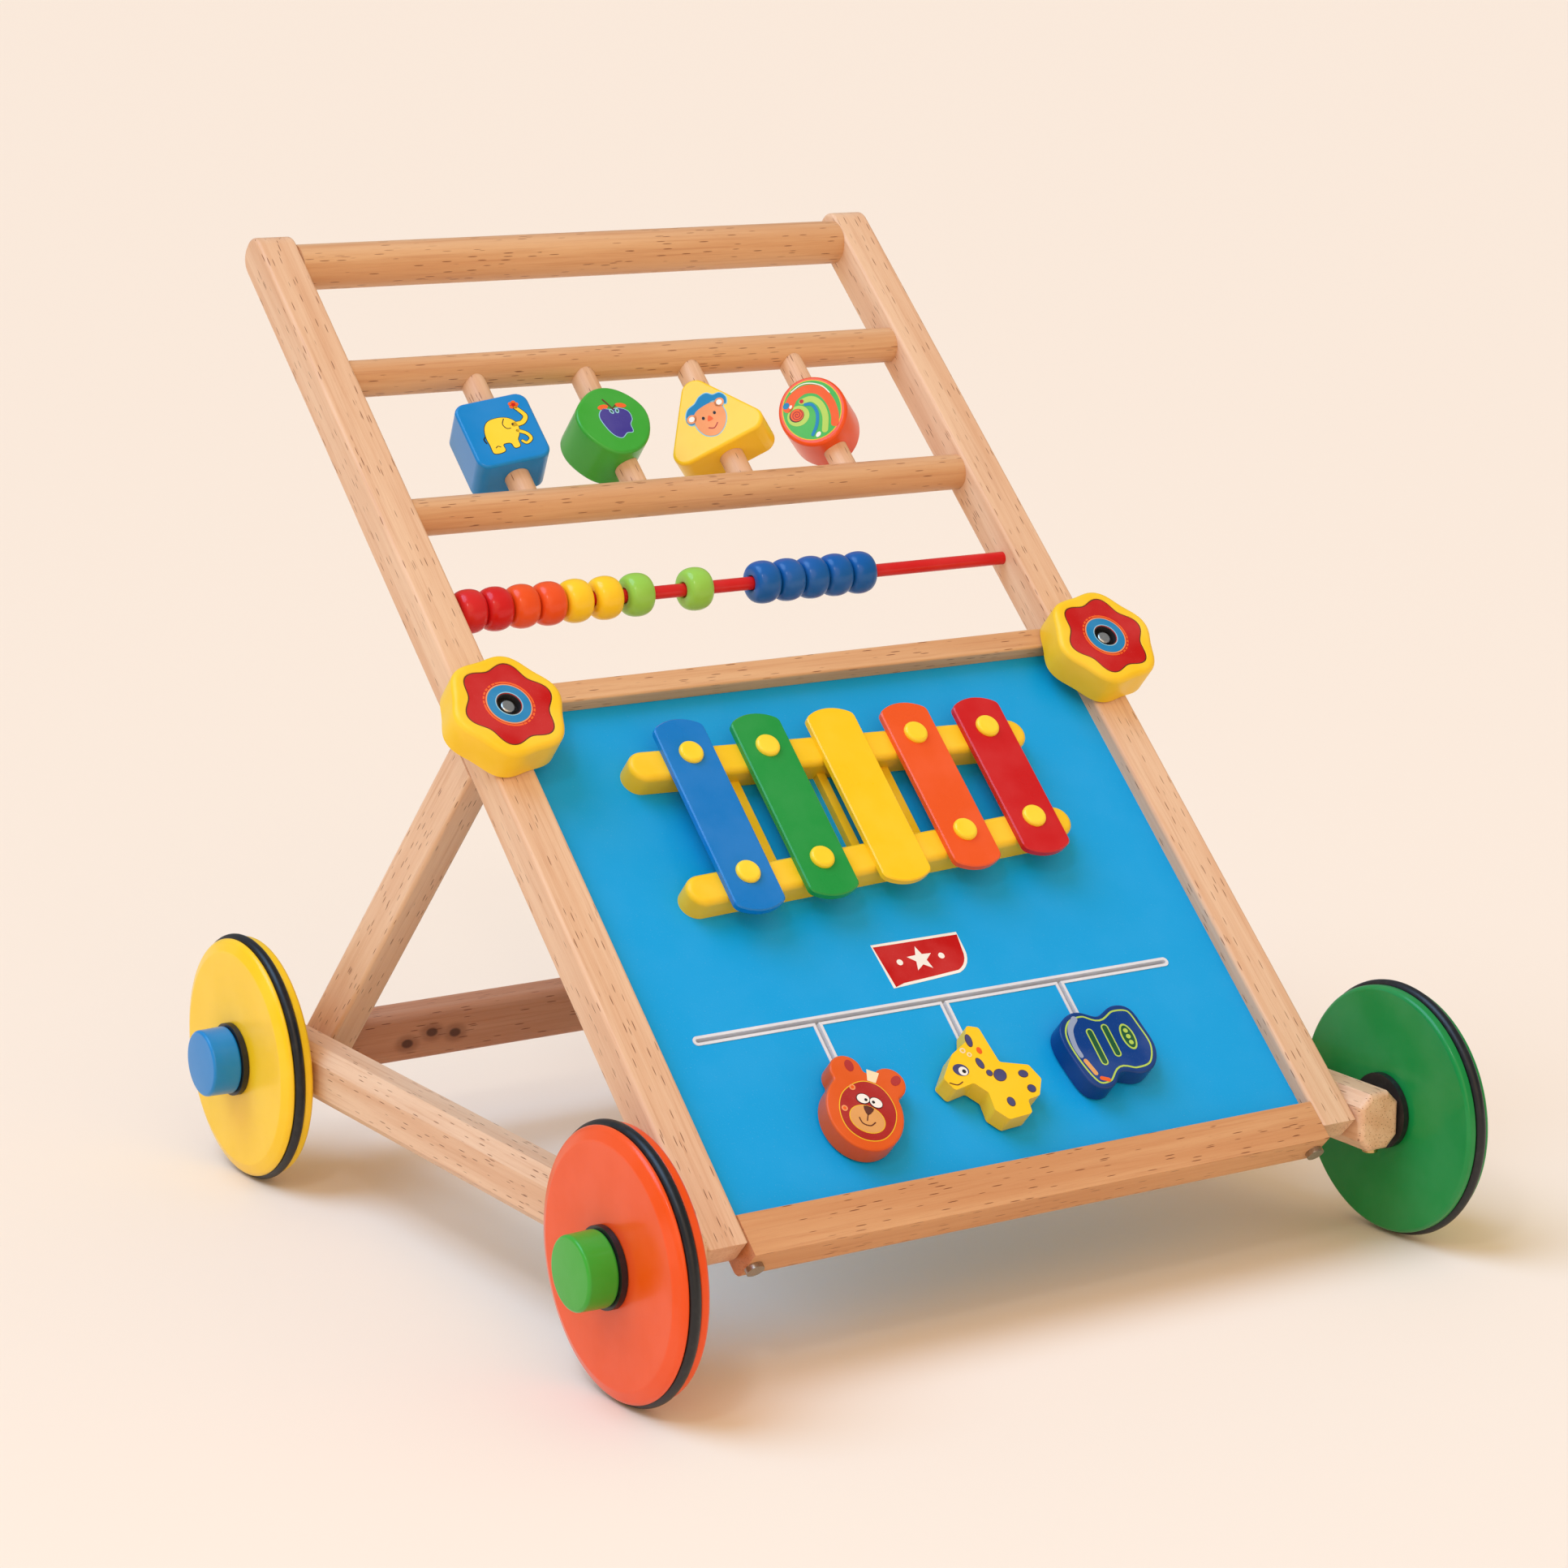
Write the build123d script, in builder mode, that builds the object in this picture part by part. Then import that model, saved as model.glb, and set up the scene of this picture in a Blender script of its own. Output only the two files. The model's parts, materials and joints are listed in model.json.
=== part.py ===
"""Wooden push-along baby walker with an activity panel.

A leaning front frame (two stiles, handle, two rungs, bead rod, panel) is carried
by two side rails at the front axles and propped by a pair of back legs.

World axes: X across the walker, -Y the direction of travel, Z up, floor at Z = 0.
Frame axes: x across, u up along the stiles, n out of the front of the frame.
"""
from build123d import *
from math import atan, cos, degrees, radians, sin
import os

os.makedirs("parts", exist_ok=True)

# Main sizes (mm)
inner_width = 313.0          # clear width between the stiles
stile_width = 20.5
stile_thickness = 21.0
stile_length = 580.0
lean = 43.2                  # angle of the front frame above the floor, degrees
knob_u = 274.0               # height of the clamp knobs along the stiles
wheel_diameter = 118.0
wheel_thickness = 15.0
tyre_diameter = 122.0

# Clearances
running = 0.08               # radial, turning fits
glued = 0.05                 # radial, fixed fits
gap = 0.35                   # between faces that move past each other

# Joinery
tenon_depth = 13.0
tenon_play = 0.2             # a tenon stops this far short of its socket
handle_tenon_step = 4.2      # radius lost from the handle to its tenon
rung_tenon_step = 3.0        # radius lost from a rung to its tenon
long_edge = 2.0              # rounding of the long wooden edges
foot_rounding = 9.0          # rounding of the stile foot
axle_diameter = 8.0
axle_grip = 14.0             # length of axle bolt inside a stile foot
pivot_u = 7.0                # front axle height along the stile
cut_margin = 1.0             # cuts start and end this far outside the wood
screw_diameter = 3.5
foot_screw_inset = 3.5       # distance of the foot screws from the stiles
foot_screw_length = 11.5
foot_head_diameter = 8.4
foot_head_height = 2.4
rail_screw_setback = 8.0     # distance of the rail screw from the front axle
rail_screw_length = 9.0
rail_head_diameter = 7.2
rail_head_height = 1.8
screw_hole_spare = 1.5       # a screw hole is this much deeper than its screw

# Handle, rungs and bead rod
handle_u = 564.0
handle_diameter = 22.4
upper_rung_u = 491.5
lower_rung_u = 405.0
rung_diameter = 18.0
rod_u = 348.0
rod_diameter = 6.5

# Panel
panel_recess = 7.9
panel_thickness = 6.0
panel_groove = 4.0
top_rail_u = 284.3
top_rail_height = 11.5
bottom_rail_u = -6.5
bottom_rail_top = 14.0

# Base
rail_width = 23.0
rail_height = 28.0
rail_chamfer = 6.0
rail_front_overhang = 14.5
rail_rear_overhang = 18.0
beam_size = 25.0
leg_width = 16.0
leg_thickness = 22.0
spacer_diameter = 36.0
spacer_thickness = 2.9
cap_diameter = 33.5
cap_length = 15.0
cap_bore_depth = 9.2
cap_grip = 9.0               # length of bolt inside a cap
groove_width = 5.4
groove_depth = 3.5

# Knobs
knob_thickness = 18.6
knob_valley = 26.2           # radius between the lobes
knob_lobe = 14.0             # radius of one lobe
knob_reach = 28.6            # radius over the lobes
recess_valley = 19.2
recess_lobe = 9.0
recess_reach = 23.2
recess_depth = 0.8
knob_phase = 12.0            # turn of the flower, degrees
cup_radius = 5.9
cup_depth = 5.0
clamp_diameter = 7.6
clamp_reach = 40.0           # length of clamp bolt inside the back leg
clamp_tip_drop = 1.4         # the bolt ends this far below the knob's top

# Beads
bead_diameter = 21.0
bead_length = 13.5
bead_positions = (
    -147.5, -133.7, -119.6, -105.3, -90.9, -74.7, -57.5,
    -24.8,
    13.7, 27.6, 41.5, 55.4, 69.3,
)

# Shape blocks
peg_diameter = 12.4
peg_pitch = 61.1
first_peg_x = -90.6
peg_depth = 5.0              # how far a peg goes into each rung
block_thickness = 25.0

# Xylophone
bar_width = 26.5
bar_thickness = 3.2
bar_pitch = 40.7
bar_corner = 4.0
bar_bow = 4.5                # how far the middle of a bar's end stands out
bar_shift = 0.6              # the set of bars stands this far right of the middle
bar_middle_u = 208.8
longest_bar = 108.0
bar_step = 4.0               # each bar is this much shorter than the one before
sound_rail_width = 16.5
sound_rail_height = 12.4
sound_left = -112.0
sound_right = 105.0
upper_sound_u = 238.0
upper_sound_slope = -0.038
lower_sound_u = 177.5
lower_sound_slope = 0.048
slat_positions = (-57.5, -11.0, 24.0, 60.0)
slat_width = 4.5
slat_height = 4.0
pin_diameter = 5.0
pin_depth = 7.8
pin_head_diameter = 12.0
pin_head_height = 2.2
pin_rise = 2.0               # pins sit this far above the middle of their rail

# Figure track
track_u = 103.2
track_start = -133.0
track_end = 124.0
track_width = 4.8
track_proud = 0.3            # height of the track lip above the panel
slot_width = 2.0
branch_bottom = 60.0
figure_x = {"bear": -71.5, "giraffe": -3.0, "guitar": 62.0}
bear_turn = 162.0            # turn of the bear's oval head, degrees
figure_thickness = 10.0
figure_standoff = 0.9        # space between the track and the back of a figure
stem_rise = 0.3              # stems rest this far above the end of their slot
button_diameter = 9.0
button_thickness = 2.5

# Derived positions
half_inner = inner_width / 2
half_outer = half_inner + stile_width
stile_x = half_inner + stile_width / 2
axle_tip = half_outer - axle_grip            # inner end of each axle bolt
foot_screw_x = half_inner - foot_screw_inset
mid_n = -stile_thickness / 2
axle_z = tyre_diameter / 2
wheelbase = (knob_u - pivot_u) / cos(radians(lean))
front_axle_y = -wheelbase / 2
rear_axle_y = wheelbase / 2
rail_inner_x = half_outer + 0.5
rail_outer_x = rail_inner_x + rail_width
wheel_inner_x = rail_outer_x + spacer_thickness + gap
wheel_outer_x = wheel_inner_x + wheel_thickness
outer_spacer_x = wheel_outer_x + gap
cap_inner_x = outer_spacer_x + spacer_thickness
panel_face_n = -panel_recess
panel_back_n = panel_face_n - panel_thickness
panel_middle_u = (bottom_rail_top + top_rail_u) / 2
panel_opening = top_rail_u - bottom_rail_top
rail_screw_x = rail_inner_x + rail_width / 2
peg_positions = [first_peg_x + i * peg_pitch for i in range(4)]
peg_seat = rung_diameter / 2 - peg_depth     # seat of each peg from the middle of its rung
sound_top_n = panel_face_n + sound_rail_height
knob_top_n = gap + knob_thickness
leg_x = half_outer - leg_width / 2
leg_foot_n = mid_n - wheelbase * sin(radians(lean))
figure_base_n = panel_face_n + track_proud + figure_standoff
stem_u = branch_bottom + stem_rise
facing_front = 0.99          # a face whose normal reaches this share of n faces the front

along = Vector(0, cos(radians(lean)), sin(radians(lean)))
outward = Vector(0, -sin(radians(lean)), cos(radians(lean)))
frame_origin = Vector(0, front_axle_y, axle_z) - along * pivot_u - outward * mid_n
front = Plane(origin=frame_origin, x_dir=(1, 0, 0), z_dir=outward)


def frame_point(x, u, n):
    """World position of a point given in frame axes."""
    return frame_origin + Vector(x, 0, 0) + along * u + outward * n


def across(x, u, n):
    """Plane facing +X whose origin is a point of the frame."""
    return Plane(origin=frame_point(x, u, n), x_dir=along, z_dir=(1, 0, 0))


def up_frame(x, u, n):
    """Plane facing up along the stiles whose origin is a point of the frame."""
    return Plane(origin=frame_point(x, u, n), x_dir=(1, 0, 0), z_dir=along)


def sideways(x, y, z):
    """Plane facing +X at a world position."""
    return Plane(origin=(x, y, z), x_dir=(0, 1, 0), z_dir=(1, 0, 0))


def is_front(face):
    """Whether a flat face looks out of the front of the frame."""
    return face.normal_at().dot(outward) > facing_front


def save(builder, label):
    """Name a finished piece and write its file."""
    builder.part.label = label
    export_step(builder.part, f"parts/{label}.step")


# Front frame ---------------------------------------------------------------

def make_stile(side, label):
    """One long upright of the front frame."""
    socket_x = side * (half_inner + tenon_depth)
    sockets = [
        (handle_u, handle_diameter / 2 - handle_tenon_step),
        (upper_rung_u, rung_diameter / 2 - rung_tenon_step),
        (lower_rung_u, rung_diameter / 2 - rung_tenon_step),
        (rod_u, rod_diameter / 2),
    ]
    with BuildPart() as stile:
        with BuildSketch(across(side * stile_x, 0, mid_n)):
            with Locations((stile_length / 2, 0)):
                Rectangle(stile_length, stile_thickness)
        extrude(amount=stile_width / 2, both=True)
        ends = stile.edges().filter_by(Axis.X)
        top_ends = ends.filter_by(lambda e: (e.center() - frame_origin).dot(along) > stile_length / 2)
        fillet(top_ends, radius=stile_thickness / 2 - 1.5)
        foot = stile.edges().filter_by(Axis.X).sort_by(Axis.Z)[0]
        fillet(foot, radius=foot_rounding)
        long_edges = stile.edges().filter_by(Axis(frame_origin, along))
        fillet(long_edges, radius=long_edge)
        for u, radius in sockets:
            with BuildSketch(across(socket_x, u, mid_n)):
                Circle(radius + glued)
            extrude(amount=-side * (tenon_depth + cut_margin), mode=Mode.SUBTRACT)
        with BuildSketch(across(side * (axle_tip - tenon_play), pivot_u, mid_n)):
            Circle(axle_diameter / 2 + glued)
        extrude(amount=side * (half_outer - axle_tip + cut_margin), mode=Mode.SUBTRACT)
        with BuildSketch(front.offset(cut_margin)):
            with Locations((side * stile_x, knob_u)):
                Circle(clamp_diameter / 2 + glued)
        extrude(amount=-(stile_thickness + 2 * cut_margin), mode=Mode.SUBTRACT)
        with BuildSketch(front.offset(panel_face_n + glued)):
            with Locations((side * half_inner, panel_middle_u)):
                Rectangle(2 * (panel_groove + glued), panel_opening + 2 * panel_groove)
        extrude(amount=-(panel_thickness + 2 * glued), mode=Mode.SUBTRACT)
    save(stile, label)


make_stile(-1, "stile_left")
make_stile(1, "stile_right")


def make_round_bar(u, diameter, tenon_step, peg_side, label):
    """A turned bar between the stiles with a reduced tenon at each end."""
    with BuildPart() as bar:
        with BuildSketch(across(0, u, mid_n)):
            Circle(diameter / 2)
        extrude(amount=half_inner, both=True)
        with BuildSketch(across(0, u, mid_n)):
            Circle(diameter / 2 - tenon_step)
        extrude(amount=half_inner + tenon_depth - tenon_play, both=True)
        if peg_side:
            for x in peg_positions:
                with BuildSketch(up_frame(x, u + peg_side * peg_seat, mid_n)):
                    Circle(peg_diameter / 2 + glued)
                extrude(amount=peg_side * diameter, mode=Mode.SUBTRACT)
    save(bar, label)


make_round_bar(handle_u, handle_diameter, handle_tenon_step, 0, "handle_bar")
make_round_bar(upper_rung_u, rung_diameter, rung_tenon_step, -1, "upper_rung")
make_round_bar(lower_rung_u, rung_diameter, rung_tenon_step, 1, "lower_rung")

with BuildPart() as bead_rod:
    with BuildSketch(across(0, rod_u, mid_n)):
        Circle(rod_diameter / 2)
    extrude(amount=half_inner + tenon_depth - tenon_play, both=True)
save(bead_rod, "bead_rod")

with BuildPart() as block_pegs:
    for x in peg_positions:
        with BuildSketch(up_frame(x, lower_rung_u + peg_seat + tenon_play, mid_n)):
            Circle(peg_diameter / 2)
        extrude(amount=upper_rung_u - lower_rung_u - 2 * (peg_seat + tenon_play))
save(block_pegs, "block_pegs")


# Panel and its rails ---------------------------------------------------------

# Stand-in for the panel edge, used to groove both cross rails
with BuildPart() as panel_edge:
    with BuildSketch(front.offset(panel_face_n + glued)):
        with Locations((0, panel_middle_u)):
            Rectangle(inner_width + 2 * cut_margin, panel_opening + 2 * (panel_groove + glued))
    extrude(amount=-(panel_thickness + 2 * glued))


with BuildPart() as panel_top_rail:
    with BuildSketch(front):
        with Locations((0, top_rail_u + top_rail_height / 2)):
            Rectangle(inner_width, top_rail_height)
    extrude(amount=-stile_thickness)
    fillet(panel_top_rail.edges().filter_by(Axis.X), radius=1.2)
    add(panel_edge.part, mode=Mode.SUBTRACT)
save(panel_top_rail, "panel_top_rail")

with BuildPart() as panel_bottom_rail:
    with BuildSketch(front):
        with Locations((0, (bottom_rail_u + bottom_rail_top) / 2)):
            Rectangle(inner_width, bottom_rail_top - bottom_rail_u)
    extrude(amount=-stile_thickness)
    rail_edges = panel_bottom_rail.edges().filter_by(Axis.X).sort_by(Axis.Z)
    fillet(rail_edges[0:2], radius=5)
    fillet(panel_bottom_rail.edges().filter_by(Axis.X).sort_by(Axis.Z)[-1], radius=1)
    add(panel_edge.part, mode=Mode.SUBTRACT)
    for x in (-foot_screw_x, foot_screw_x):
        with BuildSketch(up_frame(x, bottom_rail_u - cut_margin, mid_n)):
            Circle(screw_diameter / 2 + glued)
        extrude(amount=cut_margin + foot_screw_length + screw_hole_spare, mode=Mode.SUBTRACT)
save(panel_bottom_rail, "panel_bottom_rail")


def track_outline(width):
    """Long slot with a branch dropping to each figure."""
    with Locations(((track_start + track_end) / 2, track_u)):
        SlotCenterToCenter(track_end - track_start, width)
    for x in figure_x.values():
        with Locations((x, (track_u + branch_bottom) / 2)):
            SlotCenterToCenter(track_u - branch_bottom, width, rotation=90)


with BuildPart() as activity_panel:
    with BuildSketch(front.offset(panel_face_n)):
        with Locations((0, panel_middle_u)):
            Rectangle(inner_width + 2 * (panel_groove - glued), panel_opening + 2 * (panel_groove - glued))
    extrude(amount=-panel_thickness)
    with BuildSketch(front.offset(panel_face_n + cut_margin)):
        track_outline(track_width + 2 * glued)
    extrude(amount=-(panel_thickness + 2 * cut_margin), mode=Mode.SUBTRACT)
save(activity_panel, "activity_panel")

with BuildPart() as figure_track:
    with BuildSketch(front.offset(panel_face_n + track_proud)):
        track_outline(track_width)
    extrude(amount=-(panel_thickness + track_proud))
    with BuildSketch(front.offset(panel_face_n + cut_margin)):
        track_outline(slot_width)
    extrude(amount=-(panel_thickness + 2 * cut_margin), mode=Mode.SUBTRACT)
save(figure_track, "figure_track")


# Xylophone -------------------------------------------------------------------

def sound_rail(u, slope):
    """Outline of one support rail, rising or falling with its slope."""
    middle = (sound_left + sound_right) / 2
    with Locations(Location((middle, u + slope * middle), degrees(atan(slope)))):
        SlotOverall(sound_right - sound_left, sound_rail_width)


def pin_places():
    """Places of the bar pins: outer four bars, one pin over each rail."""
    places = []
    for i in (-2, -1, 1, 2):
        x = i * bar_pitch + bar_shift
        places.append((x, upper_sound_u + pin_rise + upper_sound_slope * x))
        places.append((x, lower_sound_u + pin_rise + lower_sound_slope * x))
    return places


with BuildPart() as xylophone_frame:
    with BuildSketch(front.offset(panel_face_n)):
        sound_rail(upper_sound_u, upper_sound_slope)
        sound_rail(lower_sound_u, lower_sound_slope)
    extrude(amount=sound_rail_height)
    fillet(xylophone_frame.faces().filter_by(is_front).edges(), radius=3)
    with BuildSketch(front.offset(panel_face_n)):
        for x in slat_positions:
            with Locations((x, (upper_sound_u + lower_sound_u) / 2)):
                Rectangle(slat_width, upper_sound_u - lower_sound_u - sound_rail_width / 2)
    extrude(amount=slat_height)
    with BuildSketch(front.offset(sound_top_n - pin_depth - tenon_play)):
        with Locations(pin_places()):
            Circle(pin_diameter / 2 + glued)
    extrude(amount=sound_rail_height, mode=Mode.SUBTRACT)
save(xylophone_frame, "xylophone_frame")


def bar_outline(x, length):
    """Face of one bar: straight sides and gently bowed ends."""
    left = x - bar_width / 2
    right = x + bar_width / 2
    top = bar_middle_u + length / 2
    bottom = bar_middle_u - length / 2
    with BuildSketch() as outline:
        with BuildLine():
            Line((left, bottom + bar_bow), (left, top - bar_bow))
            ThreePointArc((left, top - bar_bow), (x, top), (right, top - bar_bow))
            Line((right, top - bar_bow), (right, bottom + bar_bow))
            ThreePointArc((right, bottom + bar_bow), (x, bottom), (left, bottom + bar_bow))
        make_face()
        fillet(outline.vertices(), radius=bar_corner)
    return outline.sketch


def make_bar(index, colour):
    """One sounding bar, shorter towards the right."""
    x = (index - 2) * bar_pitch + bar_shift
    holes = [place for place in pin_places() if abs(place[0] - x) < pin_diameter]
    outline = bar_outline(x, longest_bar - index * bar_step)
    with BuildPart() as bar:
        with BuildSketch(front.offset(sound_top_n)):
            add(outline)
            if holes:
                with Locations(holes):
                    Circle(pin_diameter / 2 + glued, mode=Mode.SUBTRACT)
        extrude(amount=bar_thickness)
        top = bar.faces().filter_by(is_front)[0]
        chamfer(top.outer_wire().edges(), length=0.6)
    save(bar, f"bar_{colour}")


for index, colour in enumerate(("blue", "green", "yellow", "orange", "red")):
    make_bar(index, colour)

with BuildPart() as xylophone_pins:
    with BuildSketch(front.offset(sound_top_n - pin_depth)):
        with Locations(pin_places()):
            Circle(pin_diameter / 2)
    extrude(amount=pin_depth + bar_thickness)
    with BuildSketch(front.offset(sound_top_n + bar_thickness)):
        with Locations(pin_places()):
            Circle(pin_head_diameter / 2)
    extrude(amount=pin_head_height)
    fillet(xylophone_pins.faces().filter_by(is_front).edges(), radius=1.8)
save(xylophone_pins, "xylophone_pins")


# Base --------------------------------------------------------------------------

def make_side_rail(side, label):
    """Bottom rail from the front axle to the rear axle, outside the frame."""
    length = wheelbase + rail_front_overhang + rail_rear_overhang
    middle_y = (rail_rear_overhang - rail_front_overhang) / 2
    with BuildPart() as rail:
        with BuildSketch(Plane(origin=(side * (rail_inner_x + rail_width / 2), middle_y, axle_z),
                               x_dir=(1, 0, 0), z_dir=(0, 1, 0))):
            Rectangle(rail_width, rail_height)
        extrude(amount=length / 2, both=True)
        chamfer(rail.edges().filter_by(Axis.Y), length=rail_chamfer)
        ends = rail.faces().filter_by(Axis.Y)
        fillet(ends.edges(), radius=3)
        for y in (front_axle_y, rear_axle_y):
            with BuildSketch(sideways(side * (rail_inner_x - cut_margin), y, axle_z)):
                Circle(axle_diameter / 2 + glued)
            extrude(amount=side * (rail_width + 2 * cut_margin), mode=Mode.SUBTRACT)
        with BuildSketch(Plane.XY.offset(axle_z - rail_height / 2 - cut_margin)):
            with Locations((side * rail_screw_x, front_axle_y - rail_screw_setback)):
                Circle(screw_diameter / 2 + glued)
        extrude(amount=cut_margin + rail_screw_length + tenon_play, mode=Mode.SUBTRACT)
    save(rail, label)


make_side_rail(-1, "side_rail_left")
make_side_rail(1, "side_rail_right")


def make_leg(side, label):
    """Back leg square to the stile, from the clamp bolt to the rear axle."""
    with BuildPart() as leg:
        with BuildSketch(across(side * leg_x, knob_u, leg_foot_n)):
            with Locations((0, -(leg_foot_n + stile_thickness) / 2)):
                Rectangle(leg_thickness, -leg_foot_n - stile_thickness)
            Circle(leg_thickness / 2)
        extrude(amount=leg_width / 2, both=True)
        fillet(leg.edges().filter_by(Axis(frame_origin, outward)), radius=long_edge)
        with BuildSketch(sideways(side * (axle_tip - tenon_play), rear_axle_y, axle_z)):
            Circle(axle_diameter / 2 + glued)
        extrude(amount=side * (half_outer - axle_tip + cut_margin), mode=Mode.SUBTRACT)
        with BuildSketch(front.offset(-stile_thickness + cut_margin)):
            with Locations((side * stile_x, knob_u)):
                Circle(clamp_diameter / 2 + glued)
        extrude(amount=-(clamp_reach + tenon_play + cut_margin), mode=Mode.SUBTRACT)
    save(leg, label)


make_leg(-1, "back_leg_left")
make_leg(1, "back_leg_right")

with BuildPart() as rear_beam:
    with BuildSketch(sideways(0, rear_axle_y, axle_z)):
        RectangleRounded(beam_size, beam_size, 5)
    extrude(amount=half_outer - leg_width, both=True)
save(rear_beam, "rear_beam")


# Wheels, axles and caps ----------------------------------------------------------

corners = (
    ("front_left", -1, front_axle_y),
    ("front_right", 1, front_axle_y),
    ("rear_left", -1, rear_axle_y),
    ("rear_right", 1, rear_axle_y),
)


def make_wheel(side, y, label):
    """Turned disc with softened rims and a groove for the rubber ring."""
    middle = side * (wheel_inner_x + wheel_thickness / 2)
    with BuildPart() as wheel:
        with BuildSketch(sideways(middle, y, axle_z)):
            Circle(wheel_diameter / 2)
        extrude(amount=wheel_thickness / 2, both=True)
        rims = wheel.edges().filter_by(GeomType.CIRCLE)
        fillet(rims, radius=2.6)
        with BuildSketch(sideways(middle, y, axle_z)):
            Circle(wheel_diameter / 2 + 2)
            Circle(wheel_diameter / 2 - groove_depth, mode=Mode.SUBTRACT)
        extrude(amount=groove_width / 2 + glued, both=True, mode=Mode.SUBTRACT)
        with BuildSketch(sideways(middle, y, axle_z)):
            Circle(axle_diameter / 2 + running)
        extrude(amount=wheel_thickness, both=True, mode=Mode.SUBTRACT)
    save(wheel, label)


def make_tyre(side, y, label):
    """Rubber ring seated in the wheel groove."""
    middle = side * (wheel_inner_x + wheel_thickness / 2)
    with BuildPart() as tyre:
        with BuildSketch(sideways(middle, y, axle_z)):
            Circle(tyre_diameter / 2)
            Circle(wheel_diameter / 2 - groove_depth + glued, mode=Mode.SUBTRACT)
        extrude(amount=groove_width / 2, both=True)
        outer = tyre.edges().filter_by(GeomType.CIRCLE).sort_by(SortBy.RADIUS)[-2:]
        fillet(outer, radius=1.9)
    save(tyre, label)


for place, side, y in corners:
    make_wheel(side, y, f"wheel_{place}")
    make_tyre(side, y, f"tyre_{place}")

with BuildPart() as axle_bolts:
    for place, side, y in corners:
        with BuildSketch(sideways(side * axle_tip, y, axle_z)):
            Circle(axle_diameter / 2)
        extrude(amount=side * (cap_inner_x + cap_grip - axle_tip))
save(axle_bolts, "axle_bolts")

with BuildPart() as axle_spacers:
    for place, side, y in corners:
        for x in (rail_outer_x, outer_spacer_x):
            with BuildSketch(sideways(side * x, y, axle_z)):
                Circle(spacer_diameter / 2)
                Circle(axle_diameter / 2 + glued, mode=Mode.SUBTRACT)
            extrude(amount=side * spacer_thickness)
save(axle_spacers, "axle_spacers")


def make_caps(y, label):
    """Pair of turned hub caps over the bolt ends of one axle line."""
    with BuildPart() as caps:
        for side in (-1, 1):
            with BuildSketch(sideways(side * cap_inner_x, y, axle_z)):
                Circle(cap_diameter / 2)
            extrude(amount=side * cap_length)
        faces = caps.faces().filter_by(Axis.X).sort_by(Axis.X)
        fillet(faces[0].edges() + faces[-1].edges(), radius=1.6)
        for side in (-1, 1):
            with BuildSketch(sideways(side * (cap_inner_x - cut_margin), y, axle_z)):
                Circle(axle_diameter / 2 + glued)
            extrude(amount=side * (cut_margin + cap_bore_depth), mode=Mode.SUBTRACT)
    save(caps, label)


make_caps(front_axle_y, "hub_caps_front")
make_caps(rear_axle_y, "hub_caps_rear")

with BuildPart() as foot_screws:
    for x in (-foot_screw_x, foot_screw_x):
        with BuildSketch(up_frame(x, bottom_rail_u, mid_n)):
            Circle(screw_diameter / 2)
        extrude(amount=foot_screw_length)
        with BuildSketch(up_frame(x, bottom_rail_u, mid_n)):
            Circle(foot_head_diameter / 2)
        extrude(amount=-foot_head_height)
save(foot_screws, "foot_screws")

with BuildPart() as rail_screws:
    for side in (-1, 1):
        with BuildSketch(Plane.XY.offset(axle_z - rail_height / 2)):
            with Locations((side * rail_screw_x, front_axle_y - rail_screw_setback)):
                Circle(screw_diameter / 2)
        extrude(amount=rail_screw_length)
        with BuildSketch(Plane.XY.offset(axle_z - rail_height / 2)):
            with Locations((side * rail_screw_x, front_axle_y - rail_screw_setback)):
                Circle(rail_head_diameter / 2)
        extrude(amount=-rail_head_height)
save(rail_screws, "rail_screws")


# Clamp knobs ---------------------------------------------------------------------


def flower(x, valley, lobe, reach):
    """Six-lobed flower outline."""
    with Locations((x, knob_u)):
        Circle(valley)
        with PolarLocations(reach - lobe, 6, start_angle=knob_phase):
            Circle(lobe)


def make_knob(side, label):
    """Flower-shaped hand knob that turns on the clamp bolt."""
    x = side * stile_x
    with BuildPart() as knob:
        with BuildSketch(front.offset(gap)) as outline:
            flower(x, knob_valley, knob_lobe, knob_reach)
            fillet(outline.vertices(), radius=6)
        extrude(amount=knob_thickness)
        fillet(knob.faces().filter_by(is_front).edges(), radius=2.4)
        with BuildSketch(front.offset(knob_top_n - recess_depth)) as inset:
            flower(x, recess_valley, recess_lobe, recess_reach)
            fillet(inset.vertices(), radius=3)
        extrude(amount=recess_depth + cut_margin, mode=Mode.SUBTRACT)
        with BuildSketch(front.offset(knob_top_n - cup_depth)):
            with Locations((x, knob_u)):
                Circle(cup_radius)
        extrude(amount=cup_depth + cut_margin, mode=Mode.SUBTRACT)
        with BuildSketch(front):
            with Locations((x, knob_u)):
                Circle(clamp_diameter / 2 + running)
        extrude(amount=knob_thickness, mode=Mode.SUBTRACT)
    save(knob, label)


make_knob(-1, "knob_left")
make_knob(1, "knob_right")

with BuildPart() as clamp_bolts:
    for side in (-1, 1):
        with BuildSketch(front.offset(-stile_thickness - clamp_reach)):
            with Locations((side * stile_x, knob_u)):
                Circle(clamp_diameter / 2)
        extrude(amount=stile_thickness + clamp_reach + knob_top_n - clamp_tip_drop)
    fillet(clamp_bolts.faces().filter_by(is_front).edges(), radius=1.6)
save(clamp_bolts, "clamp_bolts")


# Beads -----------------------------------------------------------------------------

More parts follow.
